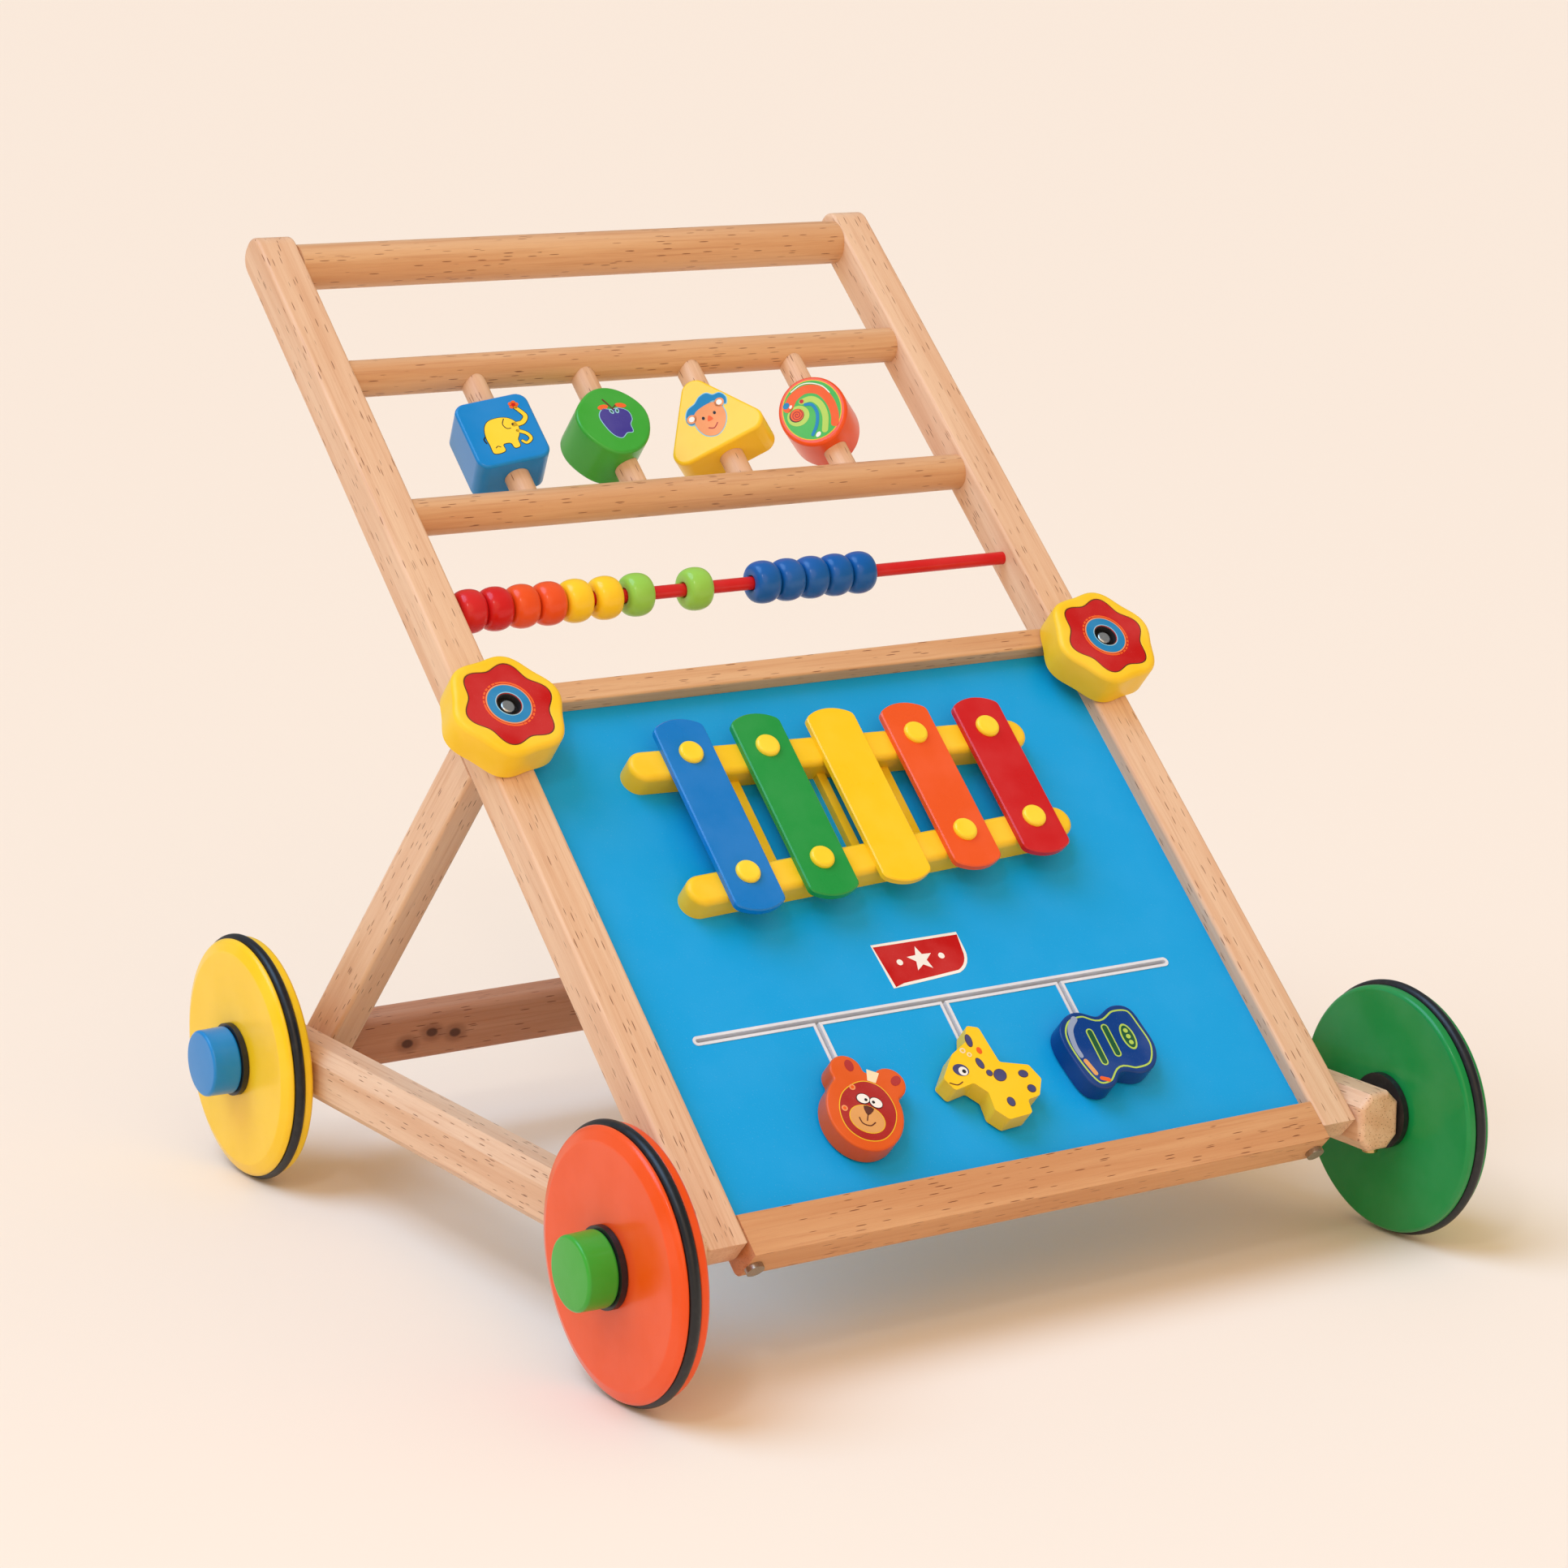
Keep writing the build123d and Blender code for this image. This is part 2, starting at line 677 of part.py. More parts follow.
def make_bead(x, label):
    """Turned bead, rounder than it is long."""
    with BuildPart() as bead:
        with BuildSketch(Plane(origin=frame_point(x, rod_u, mid_n), x_dir=(1, 0, 0), z_dir=outward)) as half:
            with BuildLine():
                Polyline(
                    (-bead_length / 2, rod_diameter / 2 + running),
                    (-bead_length / 2, bead_diameter / 2),
                    (bead_length / 2, bead_diameter / 2),
                    (bead_length / 2, rod_diameter / 2 + running),
                    close=True,
                )
            make_face()
            outer = half.vertices().group_by(Axis(frame_origin, along))[-1]
            fillet(outer, radius=bead_length / 2 - 0.2)
        revolve(axis=Axis(frame_point(x, rod_u, mid_n), (1, 0, 0)))
    save(bead, label)


for number, x in enumerate(bead_positions, start=1):
    make_bead(x, f"bead_{number:02d}")


# Shape blocks ------------------------------------------------------------------------

with BuildSketch() as square_outline:
    with Locations((-1.5, 444.5)):
        RectangleRounded(37.5, 40, 6)

with BuildSketch() as fruit_outline:
    with BuildLine():
        Spline(
            (-4, 466), (5, 465), (12, 460), (17, 451), (15.5, 440), (9.5, 430.5),
            (0, 425), (-11, 425.5), (-19, 433), (-23, 443), (-22, 451), (-16, 459),
            periodic=True,
        )
    make_face()

with BuildSketch() as triangle_outline:
    with BuildLine():
        Polyline((-2, 476), (29, 426.5), (-31, 426.5), close=True)
    make_face()
    fillet(triangle_outline.vertices(), radius=7)

with BuildSketch() as round_outline:
    with Locations((-0.7, 444.5)):
        Ellipse(17.6, 20.2)


def make_block(x, turn, outline, label):
    """Block that spins on its peg, facing a little to one side."""
    toward = outward * cos(radians(turn)) - Vector(1, 0, 0) * sin(radians(turn))
    sidewise = Vector(1, 0, 0) * cos(radians(turn)) + outward * sin(radians(turn))
    with BuildPart() as block:
        with BuildSketch(Plane(origin=frame_point(x, 0, mid_n), x_dir=sidewise, z_dir=toward)):
            add(outline.sketch)
        extrude(amount=block_thickness / 2, both=True)
        flats = block.faces().filter_by(lambda f: abs(f.normal_at().dot(toward)) > facing_front)
        fillet(flats.edges(), radius=1.6)
        with BuildSketch(up_frame(x, 0, mid_n)):
            Circle(peg_diameter / 2 + running)
        extrude(amount=stile_length, mode=Mode.SUBTRACT)
    save(block, label)


make_block(peg_positions[0], 12, square_outline, "block_square")
make_block(peg_positions[1], 0, fruit_outline, "block_fruit")
make_block(peg_positions[2], 40, triangle_outline, "block_triangle")
make_block(peg_positions[3], 42, round_outline, "block_round")


# Sliding figures ---------------------------------------------------------------------

def make_stem(x):
    """Stem through the track slot and a button behind the panel."""
    with BuildPart() as stem:
        with BuildSketch(front.offset(panel_back_n - gap)):
            with Locations((x, stem_u)):
                Circle(slot_width / 2 - running)
        extrude(amount=figure_base_n + cut_margin - panel_back_n + gap)
        with BuildSketch(front.offset(panel_back_n - gap)):
            with Locations((x, stem_u)):
                Circle(button_diameter / 2)
        extrude(amount=-button_thickness)
    return stem.part


stems = {name: make_stem(x) for name, x in figure_x.items()}

with BuildPart() as figure_bear:
    with BuildSketch(front.offset(figure_base_n)) as bear_shape:
        with Locations(Location((-75.5, 49.5), bear_turn)):
            Ellipse(18.5, 20.5)
        with Locations((-75.5, 70.5), (-57.5, 60.5)):
            Circle(8)
        fillet(bear_shape.vertices(), radius=2.5)
    extrude(amount=figure_thickness)
    fillet(figure_bear.faces().filter_by(is_front).edges(), radius=1.2)
    add(stems["bear"])
save(figure_bear, "figure_bear")

with BuildPart() as figure_giraffe:
    with BuildSketch(front.offset(figure_base_n)) as giraffe_shape:
        with BuildLine():
            Polyline(
                (-6, 82), (0, 80), (1, 70), (2, 61), (16, 57), (19, 49), (14, 41), (7, 40), (6, 33),
                (-7, 32), (-12, 38), (-11, 47), (-16, 53), (-27, 51), (-30, 58), (-20, 69), (-10, 74),
                close=True,
            )
        make_face()
        fillet(giraffe_shape.vertices(), radius=1.9)
    extrude(amount=figure_thickness)
    add(stems["giraffe"])
save(figure_giraffe, "figure_giraffe")

with BuildPart() as figure_guitar:
    with BuildSketch(front.offset(figure_base_n)):
        with BuildLine():
            Spline(
                (40, 68), (46, 77), (56, 79), (64, 75.5), (73, 79), (83, 77), (86, 67), (87, 55),
                (81, 45), (71, 43), (63, 45), (55, 39), (46, 40), (41, 53),
                periodic=True,
            )
        make_face()
    extrude(amount=figure_thickness)
    fillet(figure_guitar.faces().filter_by(is_front).edges(), radius=1.2)
    add(stems["guitar"])
save(figure_guitar, "figure_guitar")
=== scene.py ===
"""Baby walker: wood, paint, printed details and studio, built round the packed frame.

Every length is in metres unless a name or a docstring says millimetres. Frame axes
are x across the walker, u up along the stiles and n out of the front of the frame.
"""

import json
from math import atan2, cos, pi, radians, sin, tau

import bmesh
import bpy
from mathutils import Matrix, Vector


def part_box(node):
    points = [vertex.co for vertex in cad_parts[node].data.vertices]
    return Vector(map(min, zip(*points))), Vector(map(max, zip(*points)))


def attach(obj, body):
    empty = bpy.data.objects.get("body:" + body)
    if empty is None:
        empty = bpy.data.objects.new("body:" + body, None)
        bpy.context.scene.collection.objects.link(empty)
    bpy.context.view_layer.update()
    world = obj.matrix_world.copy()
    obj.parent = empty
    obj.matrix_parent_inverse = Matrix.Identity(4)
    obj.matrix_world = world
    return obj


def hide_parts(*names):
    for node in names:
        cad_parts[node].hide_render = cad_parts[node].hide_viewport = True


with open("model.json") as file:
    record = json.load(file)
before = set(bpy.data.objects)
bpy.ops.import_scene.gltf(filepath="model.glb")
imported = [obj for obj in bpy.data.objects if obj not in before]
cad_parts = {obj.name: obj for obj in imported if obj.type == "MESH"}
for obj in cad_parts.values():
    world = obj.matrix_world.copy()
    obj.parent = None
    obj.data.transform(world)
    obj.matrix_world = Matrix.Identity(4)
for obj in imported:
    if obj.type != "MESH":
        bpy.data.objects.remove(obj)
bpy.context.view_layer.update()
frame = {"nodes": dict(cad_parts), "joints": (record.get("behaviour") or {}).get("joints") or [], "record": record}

bl_info = {
    "name": "Baby Walker Workshop",
    "version": (1, 0, 0),
    "blender": (4, 5, 0),
    "location": "3D View > Sidebar > Walker",
    "description": "Finishes, printed details and studio for a wooden push-along baby walker",
    "category": "Object",
}

MM = 0.001
SAME_PLACE = 1e-7
nodes = frame["nodes"]
joints = {joint["name"]: joint for joint in frame["joints"]}
bodies = frame["record"]["behaviour"]["bodies"]
body_of = {node: body for body, members in bodies.items() for node in members}
across = Vector((1, 0, 0))
along = Vector(joints["figure_bear_slide"]["axis"]).normalized()
outward = Vector(joints["knob_left_turn"]["axis"]).normalized()
lean = atan2(along.z, along.y)

corner_paint = {
    "front_left": "orange",
    "front_right": "green",
    "rear_left": "yellow",
    "rear_right": "red",
}
bar_colours = ("blue", "green", "yellow", "orange", "red")
bead_colours = ["red"] * 2 + ["orange"] * 2 + ["yellow"] * 2 + ["lime"] * 2 + ["navy"] * 5


def rgb(red, green, blue):
    """Linear colour of a screen colour given from 0 to 255."""
    shares = [part / 255 for part in (red, green, blue)]
    return tuple(s / 12.92 if s <= 0.04045 else ((s + 0.055) / 1.055) ** 2.4 for s in shares)


# Sizes and colours that a user would change ---------------------------------------------


def colour_property(name, description, shade):
    """Colour setting with its default."""
    return bpy.props.FloatVectorProperty(
        name=name, description=description, subtype="COLOR", size=3, min=0, max=1, default=rgb(*shade)
    )


def length_property(name, description, millimetres):
    """Length setting with its default in millimetres."""
    return bpy.props.FloatProperty(
        name=name, description=description, subtype="DISTANCE", unit="LENGTH", min=0,
        default=millimetres * MM,
    )


def share_property(name, description, default):
    """Setting that runs from nothing to all."""
    return bpy.props.FloatProperty(
        name=name, description=description, subtype="FACTOR", min=0, max=1, default=default
    )


def strength_property(name, description, default):
    """Strength of a light."""
    return bpy.props.FloatProperty(name=name, description=description, min=0, default=default)


def turn_property(name, description, degrees):
    """Angle setting with its default in degrees."""
    return bpy.props.FloatProperty(
        name=name, description=description, subtype="ANGLE", unit="ROTATION", default=radians(degrees)
    )


class WalkerWood(bpy.types.PropertyGroup):
    """Lacquered beech of the frame."""

    pale: colour_property("Pale wood", "Lightest tone of the beech", (232, 196, 163))
    warm: colour_property("Warm wood", "Middle tone of the beech", (219, 174, 138))
    streak: colour_property("Streak", "Darker growth streaks", (198, 144, 108))
    fleck: colour_property("Fleck", "Short dark rays of the beech", (116, 62, 38))
    fleck_length: length_property("Fleck length", "Length of a long fleck along the grain", 6.0)
    fleck_width: length_property("Fleck width", "Width of a fleck across the grain", 0.5)
    fleck_share: share_property("Fleck share", "How many of the possible flecks show", 0.68)
    honey: colour_property("Honey stain", "Stain of the handle, rungs and top rail", (240, 222, 192))
    golden: colour_property("Golden stain", "Stain of the panel's bottom rail", (232, 198, 152))
    # The rear beam's brown stain is painted shade: it darkens the beam to the tone it shows in shade.
    brown: colour_property("Brown stain", "Stain of the rear beam", (204, 150, 122))
    roughness: share_property("Roughness", "Roughness of the satin lacquer", 0.46)


class WalkerPaint(bpy.types.PropertyGroup):
    """Paints, plastics and printing inks."""

    yellow: colour_property("Yellow", "Yellow paint", (252, 206, 22))
    orange: colour_property("Orange", "Orange paint", (236, 80, 8))
    green: colour_property("Green", "Green paint", (14, 140, 66))
    leaf: colour_property("Leaf green", "Green of the fruit block and hub caps", (58, 168, 50))
    red: colour_property("Red", "Red paint", (212, 20, 22))
    blue: colour_property("Blue", "Blue paint", (0, 132, 206))
    navy: colour_property("Dark blue", "Dark blue paint", (0, 92, 172))
    lime: colour_property("Lime", "Lime green paint", (148, 206, 78))
    panel: colour_property("Panel", "Blue laminate of the panel", (8, 164, 232))
    plastic: colour_property("Yellow plastic", "Knobs and xylophone plastic", (252, 206, 30))
    rubber: colour_property("Rubber", "Rubber rings on the wheels", (16, 18, 22))
    washer: colour_property("Washer", "Dark plastic washers on the axles", (26, 26, 30))
    bear: colour_property("Bear", "Paint of the bear", (224, 92, 24))
    guitar: colour_property("Guitar", "Paint of the guitar", (0, 58, 130))
    track: colour_property("Track", "Pale plastic of the figure track", (226, 230, 238))
    pins: colour_property("Bar pins", "Plastic pins of the sounding bars", (254, 220, 40))
    bar_blue: colour_property("Blue bar", "Enamel of the first bar", (0, 122, 204))
    bar_green: colour_property("Green bar", "Enamel of the second bar", (24, 152, 62))
    bar_yellow: colour_property("Yellow bar", "Enamel of the third bar", (255, 206, 14))
    bar_orange: colour_property("Orange bar", "Enamel of the fourth bar", (238, 88, 24))
    bar_red: colour_property("Red bar", "Enamel of the fifth bar", (204, 12, 18))
    roughness: share_property("Roughness", "Roughness of the gloss paint", 0.3)


class WalkerMetal(bpy.types.PropertyGroup):
    """Bolts and screws."""

    axle: colour_property("Axle steel", "Steel of the axle bolts", (196, 196, 192))
    clamp: colour_property("Clamp steel", "Steel of the clamp bolts", (205, 205, 200))
    screw: colour_property("Screw steel", "Steel of the foot screws", (170, 160, 145))
    brass: colour_property("Brass", "Brass of the rail screws", (201, 162, 84))


class WalkerShapes(bpy.types.PropertyGroup):
    """Sizes of the pieces that are turned or moulded here."""

    shoulder: length_property("Wheel shoulder", "Width of the bevelled shoulder of a wheel", 6.2)
    shoulder_drop: length_property("Shoulder drop", "Depth of the shoulder at the rim", 1.9)
    knob_radius: length_property("Knob radius", "Mean radius of a clamp knob", 27.4)
    knob_wave: length_property("Knob wave", "How far its six lobes stand out", 1.2)
    flower_radius: length_property("Flower radius", "Mean radius of the red flower", 21.2)
    flower_wave: length_property("Flower wave", "How far the petals stand out", 2.0)
    print_layer: length_property("Print layer", "Height of one layer of printing", 0.07)
    badge_width: length_property("Badge width", "Width of the red badge", 47.5)
    badge_height: length_property("Badge height", "Height of the red badge", 24.0)


class WalkerStudio(bpy.types.PropertyGroup):
    """Floor, light and camera."""

    sky_colour: colour_property("Sky colour", "Warm tint of the even light", (255, 230, 196))
    key_colour: colour_property("Key colour", "Cool tint of the soft sun", (166, 208, 255))
    fill_colour: colour_property("Fill colour", "Warm tint of the front light", (255, 214, 170))
    floor: colour_property("Floor", "Colour of the floor", (244, 232, 217))
    backdrop: colour_property("Backdrop", "Colour behind the floor", (252, 238, 220))
    sky: strength_property("Sky", "Strength of the even light", 0.76)
    key: strength_property("Key", "Strength of the soft sun", 2.07)
    fill: strength_property("Fill", "Strength of the front light", 0.6)
    glint: strength_property("Glint", "Strength of the small softbox", 3.5)
    azimuth: turn_property("Azimuth", "Turn of the camera towards +X", 32.51)
    elevation: turn_property("Elevation", "How far the camera looks down", 12.2)
    roll: turn_property("Roll", "Roll of the camera", 0.13)
    place: bpy.props.FloatVectorProperty(
        name="Camera place", description="Where the camera stands", subtype="TRANSLATION", unit="LENGTH",
        size=3, default=(-1.0016, -1.5476, 0.6062),
    )
    lens: bpy.props.FloatProperty(
        name="Lens", description="Focal length on a 36 mm sensor, millimetres", min=1, default=91.2
    )


settings_groups = (
    ("walker_wood", WalkerWood),
    ("walker_paint", WalkerPaint),
    ("walker_metal", WalkerMetal),
    ("walker_shapes", WalkerShapes),
    ("walker_studio", WalkerStudio),
)


# Places in the frame -----------------------------------------------------------------------


def frame_box(node):
    """Lowest and highest x, u and n of a CAD node."""
    spots = [(v.co.x, v.co.dot(along), v.co.dot(outward)) for v in nodes[node].data.vertices]
    return [min(part) for part in zip(*spots)], [max(part) for part in zip(*spots)]


def on_frame(x, u, n, turn=0.0, roll=0.0):
    """Placement with X across, Y up the stiles and Z outward, turned about Y, then rolled about Z."""
    toward = outward * cos(turn) - across * sin(turn)
    sidewise = across * cos(turn) + outward * sin(turn)
    place = Matrix((sidewise, along, toward)).transposed().to_4x4()
    place.translation = across * x + along * u + outward * n
    return place @ Matrix.Rotation(roll, 4, "Z")


def facing_out(centre, side):
    """Placement whose X points away from the middle of the walker."""
    return Matrix.Translation(centre) @ Matrix.Rotation(0 if side > 0 else pi, 4, "Z")


# Outlines, in millimetres -------------------------------------------------------------------


def oval(x, y, rx, ry=None, turn=0.0):
    """Ellipse or circle, turned by an angle in degrees."""
    steps = 40
    ry = rx if ry is None else ry
    c, s = cos(radians(turn)), sin(radians(turn))
    rim = [(rx * cos(tau * i / steps), ry * sin(tau * i / steps)) for i in range(steps)]
    return [(x + a * c - b * s, y + a * s + b * c) for a, b in rim]


def eased(before, start, end, after, share):
    """Point on a smooth curve between start and end."""
    a = share * share * (3 - 2 * share)
    tangent_in = [(e - b) / 2 for b, e in zip(before, end)]
    tangent_out = [(f - s) / 2 for s, f in zip(start, after)]
    h10 = share * (1 - share) ** 2
    h11 = share * share * (share - 1)
    return tuple(
        s * (1 - a) + e * a + h10 * ti + h11 * to
        for s, e, ti, to in zip(start, end, tangent_in, tangent_out)
    )


def smooth(points, closed=True, steps=6):
    """Smooth line through the given points."""
    count = len(points)
    spans = count if closed else count - 1
    line = []
    for i in range(spans):
        before = points[i - 1] if closed or i else points[0]
        after = points[(i + 2) % count] if closed or i + 2 < count else points[-1]
        for step in range(steps):
            line.append(eased(before, points[i], points[(i + 1) % count], after, step / steps))
    if not closed:
        line.append(points[-1])
    return line


def normals_of(line, closed):
    """Unit vectors to the left of a line at each of its points."""
    result = []
    last = len(line) - 1
    for i in range(len(line)):
        ahead = line[(i + 1) % len(line)] if closed or i < last else line[i]
        behind = line[i - 1] if closed or i else line[i]
        dx, dy = ahead[0] - behind[0], ahead[1] - behind[1]
        size = max((dx * dx + dy * dy) ** 0.5, 1e-9)
        result.append((-dy / size, dx / size))
    return result


def ribbon(points, width, end_width=None):
    """Band of even or tapering width along a smooth line, with rounded ends."""
    line = smooth(points, closed=False)
    end_width = width if end_width is None else end_width
    sides = normals_of(line, closed=False)
    halves = [(width + (end_width - width) * i / (len(line) - 1)) / 2 for i in range(len(line))]
    left = [(x + a * h, y + b * h) for (x, y), (a, b), h in zip(line, sides, halves)]
    right = [(x - a * h, y - b * h) for (x, y), (a, b), h in zip(line, sides, halves)]

    def cap(centre, side, half):
        """Round end, from the tip of a side vector round to its opposite."""
        a, b = side
        return [
            (centre[0] + half * (a * cos(t) + b * sin(t)), centre[1] + half * (b * cos(t) - a * sin(t)))
            for t in (pi * k / 6 for k in range(1, 6))
        ]

    far = cap(line[-1], sides[-1], halves[-1])
    near = cap(line[0], (-sides[0][0], -sides[0][1]), halves[0])
    return left + far + right[::-1] + near


def grown(outline, margin):
    """Outline moved outward by a margin, or inward by a negative one."""
    area = sum(a[0] * b[1] - b[0] * a[1] for a, b in zip(outline, outline[1:] + outline[:1]))
    way = -1 if area > 0 else 1
    sides = normals_of(outline, closed=True)
    return [(x + way * a * margin, y + way * b * margin) for (x, y), (a, b) in zip(outline, sides)]


def star(x, y, radius, inner):
    """Five-pointed star with straight edges, one point upward."""
    radii = (radius, inner) * 5
    return [(x + r * sin(pi * i / 5), y + r * cos(pi * i / 5)) for i, r in enumerate(radii)]


def spiral(x, y, start, end, turns):
    """Points of a spiral that opens from one radius to another."""
    count = int(turns * 10)
    spokes = [(start + (end - start) * i / count, tau * turns * i / count) for i in range(count + 1)]
    return [(x + radius * cos(angle), y + radius * sin(angle)) for radius, angle in spokes]


# Mesh work ------------------------------------------------------------------------------------


def add_plate(bm, outline, bottom, top):
    """Add a plate with this outline in millimetres, between two heights in metres."""
    rim = [bm.verts.new((x * MM, y * MM, bottom)) for x, y in outline]
    base = bm.faces.new(rim)
    raised = bmesh.ops.extrude_face_region(bm, geom=[base])
    lifted = [part for part in raised["geom"] if isinstance(part, bmesh.types.BMVert)]
    bmesh.ops.translate(bm, verts=lifted, vec=(0, 0, top - bottom))


def add_turned(bm, profile, steps=96, soften=0.0, soften_angle=25, segments=3):
    """Add a body turned about X from a closed profile of (x, radius) in millimetres."""
    verts = [bm.verts.new((x * MM, 0, radius * MM)) for x, radius in profile]
    edges = [bm.edges.new((verts[i - 1], verts[i])) for i in range(len(verts))]
    bmesh.ops.spin(
        bm, geom=verts + edges, cent=(0, 0, 0), axis=(1, 0, 0), angle=tau, steps=steps, use_merge=True
    )
    bmesh.ops.remove_doubles(bm, verts=bm.verts, dist=SAME_PLACE)
    bmesh.ops.recalc_face_normals(bm, faces=bm.faces)
    if soften:
        sharp = [
            e for e in bm.edges
            if len(e.link_faces) == 2 and e.calc_face_angle(0) > radians(soften_angle)
            and abs(e.verts[0].co.x - e.verts[1].co.x) < SAME_PLACE
        ]
        bmesh.ops.bevel(
            bm, geom=sharp, offset=soften, offset_type="OFFSET", segments=segments,
            profile=0.5, affect="EDGES", clamp_overlap=True, material=-1,
        )


def add_rings(bm, rings):
    """Add a closed skin: each ring of points is extruded from the last, and the last meets the first."""
    verts = [bm.verts.new(point) for point in rings[0]]
    edges = [bm.edges.new((verts[i - 1], verts[i])) for i in range(len(verts))]
    for points in rings[1:] + rings[:1]:
        added = bmesh.ops.extrude_edge_only(bm, edges=edges)["geom"]
        edges = [part for part in added if isinstance(part, bmesh.types.BMEdge)]
        fresh = {part for part in added if isinstance(part, bmesh.types.BMVert)}
        verts = [next(e.other_vert(v) for e in v.link_edges if e.other_vert(v) in fresh) for v in verts]
        for vert, point in zip(verts, points):
            vert.co = point
    bmesh.ops.remove_doubles(bm, verts=bm.verts, dist=SAME_PLACE)


def finish_piece(name, bm, place, material, body, replaced=(), sharp=40):
    """Make a smooth-shaded piece that rides on a body and stands for its CAD nodes."""
    bmesh.ops.transform(bm, matrix=place, verts=bm.verts)
    long_faces = [face for face in bm.faces if len(face.verts) > 4]
    bmesh.ops.triangulate(bm, faces=long_faces)
    bmesh.ops.recalc_face_normals(bm, faces=bm.faces)
    mesh = bpy.data.meshes.new(name)
    bm.to_mesh(mesh)
    bm.free()
    mesh.materials.append(material)
    mesh.shade_smooth()
    mesh.set_sharp_from_angle(angle=radians(sharp))
    piece = bpy.data.objects.new(name, mesh)
    bpy.context.scene.collection.objects.link(piece)
    shading = piece.modifiers.new("Even shading", "WEIGHTED_NORMAL")
    shading.keep_sharp = True
    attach(piece, body)
    if replaced:
        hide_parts(*replaced)


def dress(node, material):
    """Give a CAD node its finish."""
    if node not in nodes or not nodes[node].material_slots:
        raise RuntimeError(f"the frame has no finish to set on {node}")
    for holder in nodes[node].material_slots:
        holder.material = material


# Materials --------------------------------------------------------------------------------------

MIX_FACTOR, MIX_A, MIX_B, MIX_RESULT = 0, 6, 7, 2
material_shelf = {}


def put(tree, kind, **values):
    """Add a shader node and set its inputs, written with _ for a space."""
    node = tree.nodes.new(kind)
    for name, value in values.items():
        node.inputs[name.replace("_", " ")].default_value = value
    return node


def wire(tree, source, target):
    """Join an output to an input."""
    tree.links.new(source, target)


def mixed(tree, factor, first, second, mode="MIX"):
    """Colour output of a mix between two colours or outputs."""
    node = tree.nodes.new("ShaderNodeMix")
    node.data_type = "RGBA"
    node.blend_type = mode
    for index, value in ((MIX_FACTOR, factor), (MIX_A, first), (MIX_B, second)):
        if isinstance(value, bpy.types.NodeSocket):
            wire(tree, value, node.inputs[index])
        elif index == MIX_FACTOR:
            node.inputs[index].default_value = value
        else:
            node.inputs[index].default_value = (*value, 1)
    return node.outputs[MIX_RESULT]


def ramp(tree, source, low, high):
    """Value that rises from 0 to 1 between two levels of a source."""
    node = tree.nodes.new("ShaderNodeMapRange")
    node.interpolation_type = "SMOOTHSTEP"
    node.inputs["From Min"].default_value = low
    node.inputs["From Max"].default_value = high
    wire(tree, source, node.inputs["Value"])
    return node.outputs["Result"]


def times(tree, first, second):
    """Product of two outputs or numbers."""
    node = tree.nodes.new("ShaderNodeMath")
    node.operation = "MULTIPLY"
    for index, value in enumerate((first, second)):
        if isinstance(value, bpy.types.NodeSocket):
            wire(tree, value, node.inputs[index])
        else:
            node.inputs[index].default_value = value
    return node.outputs["Value"]


def start_material(name, roughness, colour):
    """New material, its tree and its shader."""
    material = bpy.data.materials.new(name)
    material.use_nodes = True
    tree = material.node_tree
    shader = tree.nodes["Principled BSDF"]
    shader.inputs["Roughness"].default_value = roughness
    shader.inputs["Base Color"].default_value = (*colour, 1)
    material.diffuse_color = (*colour, 1)
    return material, tree, shader


def scaled(tree, source, scale, shift=(0, 0, 0), turn=(0, 0, 0)):
    """Coordinates turned, moved and scaled for a texture."""
    turned = put(tree, "ShaderNodeMapping", Rotation=turn, Location=shift)
    wire(tree, source, turned.inputs["Vector"])
    stretched = put(tree, "ShaderNodeMapping", Scale=scale)
    wire(tree, turned.outputs["Vector"], stretched.inputs["Vector"])
    return stretched.outputs["Vector"]


def noise(tree, vector, scale, detail=2.0, roughness=0.5):
    """Noise value at a scale in 1/m."""
    node = put(tree, "ShaderNodeTexNoise", Scale=scale, Detail=detail, Roughness=roughness)
    wire(tree, vector, node.inputs["Vector"])
    return node.outputs["Fac"]


def bumped(tree, shader, height, distance, strength=1.0):
    """Give the shader a bump of this depth in metres."""
    node = put(tree, "ShaderNodeBump", Distance=distance, Strength=strength)
    wire(tree, height, node.inputs["Height"])
    wire(tree, node.outputs["Normal"], shader.inputs["Normal"])


def grain_turn(direction):
    """Turn that brings a grain direction onto X."""
    return {
        "across": (0, 0, 0),
        "along": (-lean, 0, -pi / 2),
        "outward": (-lean, pi / 2, 0),
        "lengthways": (0, 0, -pi / 2),
    }[direction]


def with_knot(tree, coords, body, centre, dark):
    """Colour with a dark oval knot and a soft halo round a point."""
    squeeze = 0.7
    stretch = put(tree, "ShaderNodeMapping", Scale=(squeeze, 1, 1))
    wire(tree, coords, stretch.inputs["Vector"])
    reach = tree.nodes.new("ShaderNodeVectorMath")
    reach.operation = "DISTANCE"
    wire(tree, stretch.outputs["Vector"], reach.inputs[0])
    reach.inputs[1].default_value = (squeeze * centre[0], centre[1], centre[2])
    halo, heart = (6.2, 3.0, 0.45, dark), (2.8, 1.6, 0.85, shaded(dark, -0.6))
    for edge, core, strength, shade in (halo, heart):
        near = ramp(tree, reach.outputs["Value"], edge * MM, core * MM)
        body = mixed(tree, times(tree, near, strength), body, shade)
    return body


